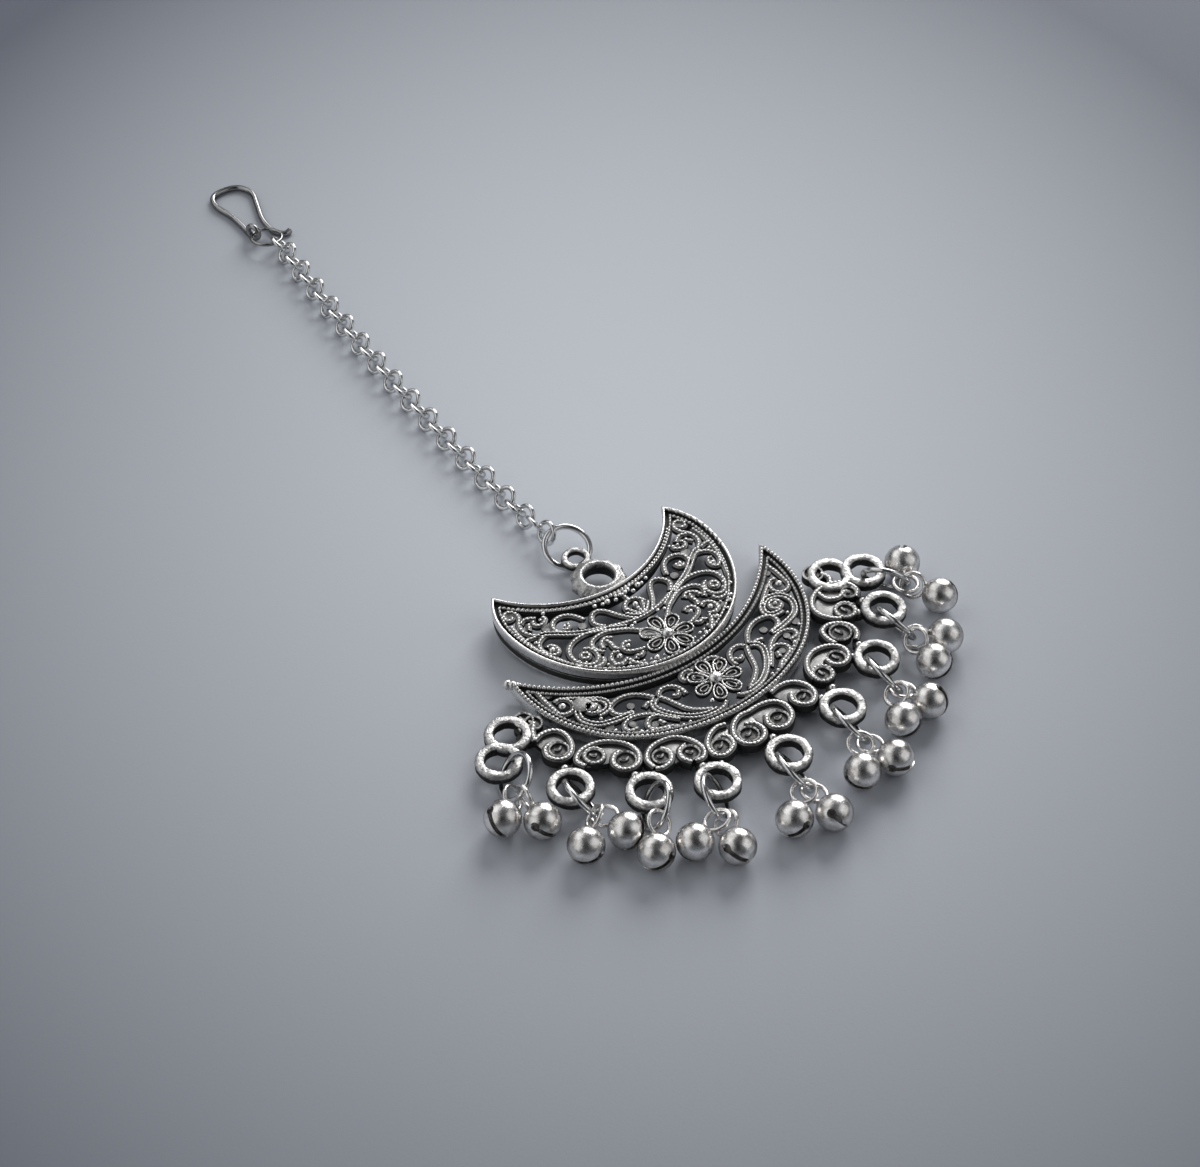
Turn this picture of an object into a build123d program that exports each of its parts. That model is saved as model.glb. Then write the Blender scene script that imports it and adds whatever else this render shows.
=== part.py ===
"""Maang tikka: a cast silver pendant of two pierced crescents, with bells on rings, a chain and a hook.

All sizes are in millimetres. X is to the right, Y runs from the bells to the hook and Z is up.
The ornament lies on z = 0. The crescents are drawn in (u, y), symmetric about u = 0, and are then
turned by TURN and set in the layout. Everything else is drawn in the layout itself.
"""

from build123d import *
import math
import os

# ---------------------------------------------------------------- driving dimensions
ORIGIN = (-0.605, 42.914)      # layout point that becomes the part's origin
TURN = 1.5                    # the pendant's turn on the table, degrees
PIVOT = (-0.3, 0.0)           # layout place of (u, y) = (0, PIVOT_Y)
PIVOT_Y = 3.0

WIRE = 0.55                   # width of a filigree strand
UPPER_WALL = (1.0, 3.9)       # heights of the upper crescent's rim
UPPER_STEP = 2.55             # height of the step round its side
UPPER_STEP_IN = 0.15
UPPER_PANEL = (2.85, 3.5)     # heights of its pierced panel
UPPER_RIM = 0.7
LOWER_WALL = (0.9, 3.1)
LOWER_PANEL = (2.05, 2.7)
LOWER_RIM = 0.7
LEDGE = 1.2                   # the panels' solid margin, from the crescent's edge
BORDER = (1.3, 2.6)           # heights of the scroll border
BORDER_WIRE = 0.6

EYE_RADIUS = 2.4              # middle of the wall of a cast eye
EYE_WALL = 1.16
EYE_HEIGHT = 1.74
EYE_MID = 2.0                 # height of its middle
EYE_ROUND = 0.42

BELL_RADIUS = 2.35
BELL_WALL = 0.3
BELL_SLOT = 0.6
BELL_SLOT_REACH = 68.0        # degrees from the pole to each end of the slot
BELL_HOLE = 0.55              # radius of the round ends of the slot
LOOP_RADIUS = 1.6
LOOP_WIRE = 0.275             # radius of its wire
LOOP_SINK = 0.1               # how far the loop's wire sinks into the shell

RING_RADIUS = 3.0             # drop rings, to the middle of the wire
RING_WIRE = 0.35
TOP_RING_RADIUS = 3.1
TOP_RING_WIRE = 0.4
LINK_RADIUS = 1.54
LINK_WIRE = 0.24
LINK_PITCH = 2.45
CHAIN_HEIGHT = 1.35
HOOK_WIRE = 0.42
HOOK_HEIGHT = 0.47

# ---------------------------------------------------------------- crescents, in (u, y)
UPPER_TIP = (14.1, 23.8)
UPPER_INNER = (0.0, 15.8)
UPPER_OUTER_CENTRE = (0.0, 16.95)
UPPER_OUTER_RADIUS = 16.6
UPPER_SHOULDER = 3.6          # degrees above the centre where the tip's arc starts
LOWER_TIP = (20.6, 11.2)
LOWER_INNER = (0.0, 0.65)
LOWER_BOTTOM = (0.0, -10.4)
LOWER_HIP = (11.0, -8.0)

# Strands of the right half: each row is points (u, y), then an optional curl that they run into.
# A curl is (eye u, eye y, first radius, last radius, start angle, turns), turns < 0 being clockwise.
UPPER_STRANDS = {
    "stem": ([(2.1, 8.2), (3.6, 9.5), (5.5, 11.1), (7.4, 12.0), (9.4, 12.9), (11.0, 13.8),
              (12.4, 14.7), (13.7, 15.7)], (13.0, 17.0, 1.4, 0.5, 0, 1.0)),
    "branch": ([(11.4, 14.2), (13.0, 14.5)], (13.3, 12.9, 1.6, 0.7, 42, -1.0)),
    "big_curl": ([(4.5, 10.1), (6.3, 10.9), (7.8, 10.8), (9.1, 9.9), (9.4, 8.8), (8.9, 8.0),
                  (8.0, 7.7), (7.3, 8.3)], None),
    "second_curl": ([(7.6, 11.9), (9.4, 11.8), (11.0, 11.4), (12.2, 10.4)],
                    (11.0, 8.8, 1.7, 0.8, 10, -1.0)),
    "teardrop": ([(1.2, 10.0), (2.3, 11.4), (2.9, 12.6), (3.6, 13.7), (4.4, 14.0), (5.2, 13.3),
                  (5.4, 12.3), (5.2, 11.2)], None),
    "side_vine": ([(6.0, 11.9), (6.8, 14.2), (7.6, 15.4), (9.0, 16.0), (10.2, 15.6)],
                  (9.4, 14.1, 1.35, 0.5, 25, -1.0)),
    "foot": ([(3.2, 6.6), (4.6, 5.9), (5.6, 5.6)], None),
    "vine_tie": ([(8.3, 15.8), (8.6, 17.3)], None),
    "tip_vine": ([(13.2, 18.2), (14.2, 18.9), (14.3, 19.4)], None),
}
UPPER_RINGS = {  # middle of the band: centre and radius
    "small": (11.2, 16.9, 0.65),
    "tip": (14.0, 20.2, 0.85),
    "low": (5.2, 7.0, 0.9),
    "foot": (5.9, 4.4, 1.2),
    "side": (7.7, 5.9, 0.95),
}
UPPER_DISCS = {"comma": (7.6, 9.1, 0.75), "curl": (11.0, 8.8, 0.7), "foot_rim": (6.6, 2.8, 0.6),
               "side_rim": (9.0, 5.1, 0.6)}
LOWER_STRANDS = {
    "stem": ([(9.4, -2.2), (12.7, -2.1), (15.4, -1.4)], (15.1, 1.6, 2.2, 0.9, -42, 1.1)),
    "leaf": ([(7.7, -1.9), (9.0, -0.3), (10.6, 0.7), (12.5, 0.8), (13.7, 0.0), (13.3, -1.3),
              (12.1, -2.0)], None),
    "hook": ([(1.6, -7.9), (3.9, -7.1), (5.25, -6.2), (6.2, -4.5), (6.95, -2.8), (6.9, -1.8),
              (6.1, -1.3), (5.0, -1.4), (4.25, -1.9), (4.0, -2.9)], None),
    "long_leaf": ([(6.8, -1.9), (8.2, -1.8), (9.5, -2.4), (9.0, -3.7), (8.2, -5.1), (7.3, -6.3),
                   (6.1, -7.4), (4.6, -8.2), (3.2, -8.9), (1.8, -9.4)], None),
    "upper_sprig": ([(9.3, -3.4), (10.6, -2.6), (12.6, -2.2)], (14.3, -3.1, 1.0, 0.5, 120, -0.8)),
    "lower_sprig": ([(9.0, -3.8), (10.4, -3.3)], (11.3, -4.8, 1.3, 0.5, 70, -1.1)),
    "tip_line": ([(18.0, 5.0), (18.7, 6.4), (18.9, 8.0)], None),
}
LOWER_RINGS = {"tip": (17.6, 3.75, 1.15)}
LOWER_DISCS = {"leaf": (11.4, -1.6, 0.65), "hook": (4.4, -3.1, 0.5), "rim": (15.2, -2.4, 0.6),
               "low_rim": (11.6, -5.9, 0.6), "stalk": (0.3, -0.8, 0.55)}

# Flowers: centre, boss radius, petal length and width, height of the petals' top
FLOWERS = {
    "upper": (0.0, 4.9, 0.8, 3.0, 1.75, 3.8),
    "lower": (0.3, -4.2, 0.9, 2.7, 1.6, 3.0),
}
PETALS = 7
BUD = (0.0, 11.7, 1.1, 1.35)  # centre, half width, half height

# ---------------------------------------------------------------- scroll border, in the layout
# Strands of each scroll unit, and the round middles that they hold (x, y, radius).
BORDER_STRANDS = {
    "centre_left": [(0.3, -14.1), (-1.3, -14.0), (-3.0, -15.0), (-3.8, -16.5), (-3.5, -18.0),
                    (-2.3, -18.8), (-0.8, -18.5), (-0.1, -17.4), (-0.4, -16.1), (-1.5, -15.5)],
    "centre_right": [(0.0, -14.1), (2.0, -14.0), (3.7, -14.5), (4.6, -15.6), (4.6, -16.9),
                     (4.0, -18.0), (2.7, -18.7), (1.3, -18.3), (0.9, -17.1), (1.6, -15.9)],
    "left_2": [(-3.4, -14.1), (-4.7, -13.8), (-6.3, -14.4), (-7.5, -15.7), (-7.7, -17.1),
               (-6.9, -18.0), (-5.6, -17.9), (-4.6, -17.2), (-4.4, -16.0), (-5.1, -15.2)],
    "left_3": [(-14.9, -14.6), (-14.9, -13.0), (-13.6, -11.8), (-11.8, -11.5), (-10.1, -11.9),
               (-8.9, -13.0), (-8.2, -14.5), (-8.2, -15.9), (-9.0, -16.8), (-10.2, -16.7)],
    "left_3_hook": [(-14.9, -14.8), (-14.0, -15.2), (-12.6, -14.9), (-11.8, -13.7), (-12.4, -12.5)],
    "left_3_curl": [(-10.6, -16.6), (-11.2, -15.4), (-10.8, -14.2), (-9.6, -13.8)],
    "left_4": [(-21.6, -9.4), (-22.0, -8.1), (-20.9, -7.1), (-19.3, -6.9), (-17.6, -7.3),
               (-16.0, -8.5), (-15.1, -10.0), (-15.1, -11.5), (-15.9, -12.7), (-17.1, -13.0),
               (-18.3, -12.4), (-18.6, -11.1), (-17.8, -10.1), (-16.8, -9.9)],
    "left_5": [(-24.2, -2.3), (-22.9, -1.9), (-21.4, -2.2), (-20.6, -3.2), (-20.6, -4.6),
               (-21.2, -6.0), (-22.3, -6.8), (-23.6, -6.6), (-24.4, -5.4), (-24.0, -4.2),
               (-22.9, -3.8)],
    "right_2": [(4.4, -13.2), (5.8, -12.9), (7.3, -13.1), (8.6, -14.1), (9.1, -15.5), (8.7, -16.9),
                (7.5, -17.6), (6.3, -17.0), (5.9, -15.8), (6.5, -14.8)],
    "right_3": [(10.5, -14.6), (10.7, -13.1), (11.7, -11.6), (13.3, -10.8), (15.2, -11.0),
                (16.6, -12.0), (16.9, -13.3), (16.2, -14.4), (15.0, -14.7), (14.0, -14.0),
                (13.8, -12.8)],
    "right_4": [(16.6, -11.4), (16.3, -10.0), (16.6, -8.7), (17.9, -8.3), (19.3, -8.9),
                (20.2, -10.1), (20.1, -11.5), (19.2, -12.4)],
    "right_5": [(20.1, -8.4), (19.1, -7.6), (18.3, -6.3), (18.3, -4.8), (19.2, -3.5), (20.6, -2.7),
                (22.3, -2.5), (23.9, -3.0), (25.0, -4.2), (25.1, -5.6), (24.2, -6.5)],
    "right_5_comma": [(20.6, -3.0), (20.9, -4.6), (22.2, -5.2), (23.6, -4.8)],
    "left_tie": [(-24.2, -2.3), (-23.6, -1.0), (-22.6, 0.2)],
    "right_tie": [(23.0, -2.6), (23.6, -1.6), (23.2, -0.4)],
}
BORDER_TIES = {  # straight strands that hold the round middles
    "centre_left": ((-1.5, -15.5), (-2.1, -17.1)), "centre_right": ((1.6, -15.9), (2.6, -17.2)),
    "left_2": ((-5.1, -15.2), (-6.1, -16.6)), "left_3_in": ((-12.4, -12.5), (-13.1, -13.6)),
    "left_3_out": ((-9.6, -13.8), (-9.8, -15.2)), "left_4_in": ((-19.7, -7.3), (-19.7, -8.6)),
    "left_4_out": ((-16.8, -9.9), (-17.0, -11.4)), "left_5": ((-22.9, -3.8), (-22.6, -5.2)),
    "right_2": ((6.5, -14.8), (7.4, -16.2)), "right_3_in": ((13.8, -12.8), (15.1, -13.4)),
    "right_3_out": ((11.9, -13.1), (11.9, -14.5)), "right_4": ((18.5, -8.6), (18.4, -10.2)),
    "right_5_in": ((21.5, -6.1), (21.5, -7.5)),
}
BORDER_WEBS = {  # round webs that join the border to the cast eyes (x, y, radius)
    "eye_01": (-24.6, -1.0, 1.2), "eye_02": (-23.6, -7.8, 0.8), "eye_02_in": (-22.6, -9.1, 0.8),
    "eye_03": (-17.3, -13.8, 0.8), "eye_03_in": (-15.3, -15.0, 0.65), "eye_04": (-9.7, -17.5, 0.8),
    "eye_04_in": (-7.6, -18.6, 0.75), "eye_05": (0.2, -19.0, 0.9), "eye_06": (9.3, -17.4, 0.85),
    "eye_06_in": (11.6, -16.8, 0.8), "eye_07": (19.2, -13.0, 0.8), "eye_07_in": (17.2, -14.1, 0.65),
    "eye_08": (24.7, -7.2, 0.85), "eye_08_in": (22.8, -8.5, 0.85), "eye_09": (25.8, -4.2, 1.0),
    "end_left": (-24.0, 0.6, 1.1), "end_right": (22.9, -3.2, 0.9), "rim_right": (18.6, -4.3, 0.9),
    "rim_left": (-20.6, -4.0, 0.9), "rim_left_4": (-15.2, -9.7, 0.9), "rim_right_4": (16.4, -9.4, 0.9),
}
BORDER_RINGS = {
    "left_4": (-19.7, -8.6, 1.25),
    "right_3": (11.9, -14.5, 1.35),
    "right_5": (21.5, -7.5, 1.35),
}
BORDER_DISCS = {
    "centre_left": (-2.1, -17.1, 0.85), "centre_right": (2.6, -17.2, 0.85),
    "left_2": (-6.1, -16.6, 0.8), "left_3_in": (-13.1, -13.6, 0.7), "left_3_out": (-9.8, -15.2, 0.75),
    "left_4_in": (-19.7, -8.6, 0.7), "left_4_out": (-17.0, -11.4, 0.95), "left_5": (-22.6, -5.2, 0.8),
    "right_2": (7.4, -16.2, 0.7), "right_3_in": (15.1, -13.4, 0.75), "right_3_out": (11.9, -14.5, 0.7),
    "right_4": (18.4, -10.2, 1.0), "right_5_in": (21.5, -7.5, 0.75), "right_5_out": (24.0, -5.2, 0.55),
    "left_bead": (-23.3, 1.4, 0.8), "left_bead_2": (-22.6, 0.3, 0.7), "right_bead": (22.4, 0.2, 0.9),
}

# Cast eyes (u, y): the nine that hold a drop, and the two at the border's ends
DROP_EYES = {
    "01": (-29.4, 1.4), "02": (-24.93, -7.29), "03": (-17.78, -13.66), "04": (-10.12, -17.52),
    "05": (-0.3, -19.4), "06": (10.17, -17.56), "07": (19.22, -13.79), "08": (25.87, -7.74),
    "09": (28.4, -0.9),
}
END_EYES = {"left": (-25.9, 4.3), "right": (24.33, 1.1)}
TOP_EYE = (0.0, 19.3)
TOP_EYE_RADIUS = 2.95
TOP_EYE_WALL = 1.7
TOP_EYE_HEIGHTS = (0.8, 3.2)
TOP_LOBES = 12
SMALL_LOOP = (0.1, 24.35)
SMALL_LOOP_RADIUS = 1.55
SMALL_LOOP_WALL = 0.9
SMALL_LOOP_HEIGHTS = (1.25, 2.35)
TIP_BEAD = (-21.45, 7.55, 2.45, 0.65)   # round end of the lower crescent's left tip, in the layout

# ---------------------------------------------------------------- loose hardware, in the layout
# Drop rings: centre x, y, z, then the azimuth and elevation of the ring's normal, in degrees
DROP_RINGS = {
    "01": (-29.71, -5.99, 2.80, 158, 36),
    "02": (-25.39, -13.82, 2.94, -5, 32),
    "03": (-18.79, -20.00, 2.97, 151, 30),
    "04": (-12.12, -23.17, 2.92, -31, 32),
    "05": (-1.74, -25.63, 2.83, -7, 35),
    "06": (8.79, -23.62, 2.82, -5, 35),
    "07": (17.71, -19.57, 2.86, -5, 34),
    "08": (24.80, -13.55, 2.93, 6, 32),
    "09": (29.03, -6.63, 3.08, 38, 26),
}
# Bells: centre x, y, then the azimuth and elevation of the line to the loop, the roll of the
# loop's normal about that line from level, and the roll of the slot's normal, in degrees
BELLS = {
    "01": (-34.51, -10.17, 37, -9, 145, 140),
    "02": (-30.87, -13.35, 87, 10, 176, 125),
    "03": (-28.90, -19.52, 38, 15, 35, 85),
    "04": (-23.60, -20.56, 98, -8, 86, 50),
    "05": (-22.73, -25.30, 48, 13, 129, 65),
    "06": (-18.04, -26.80, 8, 14, 72, 120),
    "07": (-14.38, -30.37, 73, -1, 49, 125),
    "08": (-6.21, -31.08, 33, 16, 80, 60),
    "09": (-1.68, -33.16, 90, 1, 104, 140),
    "10": (5.33, -30.10, 54, 13, 94, 100),
    "11": (10.09, -30.80, 104, -4, 96, 100),
    "12": (15.00, -26.54, 63, 11, 57, 65),
    "13": (19.80, -26.07, 111, -4, 103, 25),
    "14": (24.78, -21.20, 87, 7, 42, 60),
    "15": (28.88, -18.67, 138, -8, 16, 40),
    "16": (33.22, -12.69, 118, 4, 40, 35),
    "17": (33.30, -5.10, -124, -1, 86, 0),
}
TOP_RING = (-0.24, 24.08, 1.64, -94, 68)

# The chain lies along x = a + b y + c y y. Its first links are higher and stand steeper, to meet
# the top ring.
CHAIN_CURVE = (-0.23, -0.0635, 0.00098)
CHAIN_START = 27.36
CHAIN_LINKS = 32
CHAIN_LEAN = 45               # degrees from level of each link's normal
FIRST_HEIGHTS = (2.28, 1.94, 1.60)
FIRST_LEANS = (25, 33, 31)

HOOK_RING = (2.78, 105.74, 1.51, 46, 83)
HOOK_RING_RADIUS = 2.29
HOOK_RING_WIRE = 0.25
HOOK_EYE = (1.91, 108.04)
HOOK_EYE_RADIUS = 1.0
HOOK_EYE_TURN = 18            # degrees, the eyelet's normal from X
HOOK_PATH = [(1.8, 108.3), (1.75, 109.4), (1.85, 111.5), (1.75, 114.8), (1.2, 118.1), (2.0, 120.3),
             (4.1, 120.9), (6.4, 120.2), (7.35, 117.8), (6.4, 114.6), (5.3, 111.5), (4.95, 108.8),
             (5.3, 107.0), (6.2, 106.0), (7.1, 106.2)]
HOOK_TIP = 0.47               # radius of the rounded tip


# ---------------------------------------------------------------- strands, as flat faces
def unit(x, y):
    """The direction (x, y) at length one."""
    size = math.hypot(x, y)
    return (x / size, y / size)


def headings(points):
    """The direction of travel at each point, from the circle through it and its neighbours."""
    spans = [(b[0] - a[0], b[1] - a[1]) for a, b in zip(points, points[1:])]
    inner = []
    for before, after in zip(spans, spans[1:]):
        share = math.hypot(*before) / (math.hypot(*before) + math.hypot(*after))
        bu, au = unit(*before), unit(*after)
        inner.append(unit(bu[0] * (1 - share) + au[0] * share, bu[1] * (1 - share) + au[1] * share))
    first, last = unit(*spans[0]), unit(*spans[-1])
    if not inner:
        return [first, last]
    return [mirrored(inner[0], first)] + inner + [mirrored(inner[-1], last)]


def mirrored(heading, axis):
    """The heading seen in a mirror along axis, which gives an arc's other end."""
    along = heading[0] * axis[0] + heading[1] * axis[1]
    return (2 * along * axis[0] - heading[0], 2 * along * axis[1] - heading[1])


def biarc_nodes(points):
    """The points and headings of a smooth run of arcs, with a joint between each two points."""
    course = headings(points)
    nodes = [(points[0], course[0])]
    for p, q, tp, tq in zip(points, points[1:], course, course[1:]):
        v = (q[0] - p[0], q[1] - p[1])
        t = (tp[0] + tq[0], tp[1] + tq[1])
        vt = v[0] * t[0] + v[1] * t[1]
        vv = v[0] ** 2 + v[1] ** 2
        spread = 2 * (1 - tp[0] * tq[0] - tp[1] * tq[1])
        if spread < 1e-6:
            reach = vv / (2 * vt)
        else:
            reach = (math.sqrt(vt * vt + spread * vv) - vt) / spread
        a = (p[0] + tp[0] * reach, p[1] + tp[1] * reach)
        b = (q[0] - tq[0] * reach, q[1] - tq[1] * reach)
        nodes.append((((a[0] + b[0]) / 2, (a[1] + b[1]) / 2), unit(b[0] - a[0], b[1] - a[1])))
        nodes.append((q, tq))
    return nodes


def arc(start, end, heading):
    """The arc from start to end that leaves along heading, or a line where it is straight."""
    chord = unit(end[0] - start[0], end[1] - start[1])
    if abs(chord[0] * heading[1] - chord[1] * heading[0]) < 1e-4:
        return Line(start, end)
    return TangentArc(start, end, tangent=heading)


def strand(points, width=WIRE):
    """A band of even width with round ends that follows the points."""
    nodes = biarc_nodes(points)
    half = width / 2
    left = [(p[0] - t[1] * half, p[1] + t[0] * half) for p, t in nodes]
    right = [(p[0] + t[1] * half, p[1] - t[0] * half) for p, t in nodes]
    edges = [arc(a, b, node[1]) for a, b, node in zip(left, left[1:], nodes)]
    p, t = nodes[-1]
    edges.append(ThreePointArc(left[-1], (p[0] + t[0] * half, p[1] + t[1] * half), right[-1]))
    for k in range(len(nodes) - 1, 0, -1):
        back = (-nodes[k][1][0], -nodes[k][1][1])
        edges.append(arc(right[k], right[k - 1], back))
    p, t = nodes[0]
    edges.append(ThreePointArc(right[0], (p[0] - t[0] * half, p[1] - t[1] * half), left[0]))
    return Face(Wire(edges))


def curl_points(curl):
    """Points round an eye, from the first radius to the last."""
    eye_u, eye_y, first, last, start, turns = curl
    steps = max(3, round(abs(turns) * 6))
    points = []
    for k in range(steps + 1):
        angle = math.radians(start + 360 * turns * k / steps)
        radius = first + (last - first) * k / steps
        points.append((eye_u + radius * math.cos(angle), eye_y + radius * math.sin(angle)))
    return points


def ring_face(x, y, radius, width=WIRE):
    """A round band."""
    return Pos(x, y) * (Circle(radius + width / 2) - Circle(radius - width / 2)).face()


def disc_face(x, y, radius):
    """A round disc."""
    return (Pos(x, y) * Circle(radius)).face()


def both_sides(faces):
    """The faces and their mirror images in u = 0."""
    return faces + [face.mirror(Plane.YZ) for face in faces]


def fused(faces):
    """One sketch from overlapping faces."""
    return faces[0].fuse(*faces[1:])


# ---------------------------------------------------------------- crescents
def upper_outline():
    """The upper crescent's outer shape."""
    angle = math.radians(UPPER_SHOULDER)
    cu, cy = UPPER_OUTER_CENTRE
    shoulder = (UPPER_OUTER_RADIUS * math.cos(angle), cy + UPPER_OUTER_RADIUS * math.sin(angle))
    left = (-shoulder[0], shoulder[1])
    tip_left = (-UPPER_TIP[0], UPPER_TIP[1])
    rising = (-math.sin(angle), math.cos(angle))
    edges = [
        ThreePointArc(left, (cu, cy - UPPER_OUTER_RADIUS), shoulder),
        TangentArc(shoulder, UPPER_TIP, tangent=rising),
        ThreePointArc(UPPER_TIP, UPPER_INNER, tip_left),
        TangentArc(left, tip_left, tangent=(-rising[0], rising[1])),
    ]
    return Face(Wire(edges))


def lower_outline():
    """The lower crescent's outer shape."""
    right_hip = TangentArc(LOWER_BOTTOM, LOWER_HIP, tangent=(1, 0))
    hip_heading = right_hip % 1
    right_tip = TangentArc(LOWER_HIP, LOWER_TIP, tangent=hip_heading)
    left_hip = right_hip.mirror(Plane.YZ)
    left_tip = right_tip.mirror(Plane.YZ)
    inner = ThreePointArc(LOWER_TIP, LOWER_INNER, (-LOWER_TIP[0], LOWER_TIP[1]))
    return Face(Wire([right_hip, right_tip, inner, left_tip, left_hip]))


def raised(face, low, high):
    """The flat face as a solid between two heights."""
    return extrude(Pos(0, 0, low) * face, high - low, dir=(0, 0, 1))


def inset(outline, by):
    """The outline moved inwards, which keeps its sharp tips."""
    return offset(outline, -by, kind=Kind.INTERSECTION).face()


def wall(outline, width, low, high):
    """A rim along the outline."""
    return raised(outline - inset(outline, width), low, high)


def petal_faces(name):
    """The petals of a flower, pointed lens shapes round its centre."""
    cu, cy, boss, length, width, top = FLOWERS[name]
    faces = []
    for k in range(PETALS):
        petal = Pos(length / 2 + boss * 0.6, 0) * Ellipse(length / 2, width / 2)
        faces.append((Pos(cu, cy) * Rot(0, 0, 90 + 360 * k / PETALS) * petal).face())
    return faces


def panel_face(outline, strands, rings, discs, extra):
    """The pierced panel: the strands, rings and discs joined to a solid margin."""
    right = [strand(points + (curl_points(curl) if curl else [])) for points, curl in strands.values()]
    right += [ring_face(*row) for row in rings.values()]
    right += [disc_face(*row) for row in discs.values()]
    margin = (outline - inset(outline, LEDGE)).faces()
    scrolls = fused(both_sides(right) + extra + list(margin))
    return scrolls & inset(outline, 0.3)


def pierced(face, low, high, smallest=0.15):
    """The face raised to a solid, with its smallest gaps filled."""
    solids = []
    for piece in face.faces():
        gaps = [wire for wire in piece.inner_wires() if Face(wire).area > smallest]
        solids.append(raised(Face(piece.outer_wire(), gaps), low, high))
    return solids


def flower(name, low):
    """A flower's raised petals and its ball boss."""
    cu, cy, boss, length, width, top = FLOWERS[name]
    petals = raised(fused(petal_faces(name)), low, top)
    return [petals, Pos(cu, cy, top) * Sphere(boss)]


def crescents():
    """Both crescents with their panels and flowers."""
    upper, lower = upper_outline(), lower_outline()
    bud = Pos(BUD[0], BUD[1]) * Ellipse(BUD[2], BUD[3])
    stalk = strand([(0, 8.0), (0, 11.0), (0, 14.9)])
    solids = [
        wall(inset(upper, UPPER_STEP_IN), UPPER_RIM, UPPER_WALL[0], UPPER_STEP + 0.2),
        wall(upper, UPPER_RIM, UPPER_STEP, UPPER_WALL[1]),
        wall(lower, LOWER_RIM, *LOWER_WALL),
    ]
    upper_extra = petal_faces("upper") + [bud.face(), stalk]
    face = panel_face(upper, UPPER_STRANDS, UPPER_RINGS, UPPER_DISCS, upper_extra)
    solids += pierced(face, *UPPER_PANEL)
    face = panel_face(lower, LOWER_STRANDS, LOWER_RINGS, LOWER_DISCS, petal_faces("lower"))
    solids += pierced(face, *LOWER_PANEL)
    solids += flower("upper", UPPER_PANEL[0] + 0.1)
    solids += flower("lower", LOWER_PANEL[0] + 0.1)
    return solids


# ---------------------------------------------------------------- border and eyes
def casting_frame():
    """Where the crescents' (u, y) frame stands in the layout."""
    return Pos(*PIVOT) * Rot(0, 0, TURN) * Pos(0, -PIVOT_Y)


def in_layout(u, y):
    """The layout point of a (u, y) point."""
    place = (casting_frame() * Pos(u, y)).position
    return place.X, place.Y


def border():
    """The scroll border, with its gaps left open."""
    faces = [strand(points, BORDER_WIRE) for points in BORDER_STRANDS.values()]
    faces += [strand(points, BORDER_WIRE) for points in BORDER_TIES.values()]
    faces += [ring_face(*row, BORDER_WIRE) for row in BORDER_RINGS.values()]
    faces += [disc_face(*row) for row in (BORDER_DISCS | BORDER_WEBS).values()]
    return pierced(fused(faces), *BORDER)


def round_eye(radius, width, low, high, corner):
    """A cast eye: a round wall with rounded corners."""
    section = Pos(radius, (low + high) / 2) * RectangleRounded(width, high - low, corner)
    return revolve(Plane.XZ * section, Axis.Z)


def eyes():
    """The drop eyes, end eyes, top eye, small loop and the tip's bead."""
    low, high = EYE_MID - EYE_HEIGHT / 2, EYE_MID + EYE_HEIGHT / 2
    one = round_eye(EYE_RADIUS, EYE_WALL, low, high, EYE_ROUND)
    solids = [Pos(*in_layout(*row)) * one for row in (DROP_EYES | END_EYES).values()]
    top = Pos(*in_layout(*TOP_EYE))
    solids.append(top * round_eye(TOP_EYE_RADIUS, TOP_EYE_WALL, *TOP_EYE_HEIGHTS, 0.6))
    lobe_radius = TOP_EYE_RADIUS + TOP_EYE_WALL / 2 - 0.45
    for k in range(TOP_LOBES):
        lobe = Rot(0, 0, 360 * k / TOP_LOBES + 15) * Pos(lobe_radius, 0, 1.0) * Sphere(0.6)
        solids.append(top * Pos(0, 0, 0.6) * lobe)
    loop = round_eye(SMALL_LOOP_RADIUS, SMALL_LOOP_WALL, *SMALL_LOOP_HEIGHTS, 0.4)
    solids.append(Pos(*in_layout(*SMALL_LOOP)) * loop)
    solids.append(Pos(*TIP_BEAD[:3]) * Sphere(TIP_BEAD[3]))
    return solids


def cast_pendant():
    """The whole casting, one solid."""
    solids = [casting_frame() * solid for solid in crescents()] + border() + eyes()
    return solids[0].fuse(*solids[1:])


# ---------------------------------------------------------------- rings, bells, chain and hook
def direction(azimuth, elevation):
    """A unit direction from its azimuth and elevation in degrees."""
    a, e = math.radians(azimuth), math.radians(elevation)
    return Vector(math.cos(a) * math.cos(e), math.sin(a) * math.cos(e), math.sin(e))


def level_side(azimuth):
    """The level direction a quarter turn anticlockwise from an azimuth."""
    return direction(azimuth + 90, 0)


def wire_ring(centre, normal, radius, wire):
    """A closed ring of round wire."""
    return Plane(origin=centre, z_dir=normal) * Torus(radius, wire)


def jump_ring(row, radius, wire):
    """A loose ring, from its centre and the azimuth and elevation of its normal."""
    x, y, z, azimuth, elevation = row
    return wire_ring((x, y, z), direction(azimuth, elevation), radius, wire)


def bell_shell():
    """A hollow bell about the origin, with its slot at the bottom and in the XZ plane."""
    shell = Sphere(BELL_RADIUS) - Sphere(BELL_RADIUS - BELL_WALL)
    edge = -BELL_RADIUS * math.cos(math.radians(BELL_SLOT_REACH))
    depth = 2 * BELL_RADIUS
    slot = Pos(0, 0, edge - depth / 2) * Box(3 * BELL_RADIUS, BELL_SLOT, depth)
    holes = Pos(0, 0, edge) * Rot(0, 90, 0) * Cylinder(BELL_HOLE, 3 * BELL_RADIUS)
    return shell - slot - holes


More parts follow.
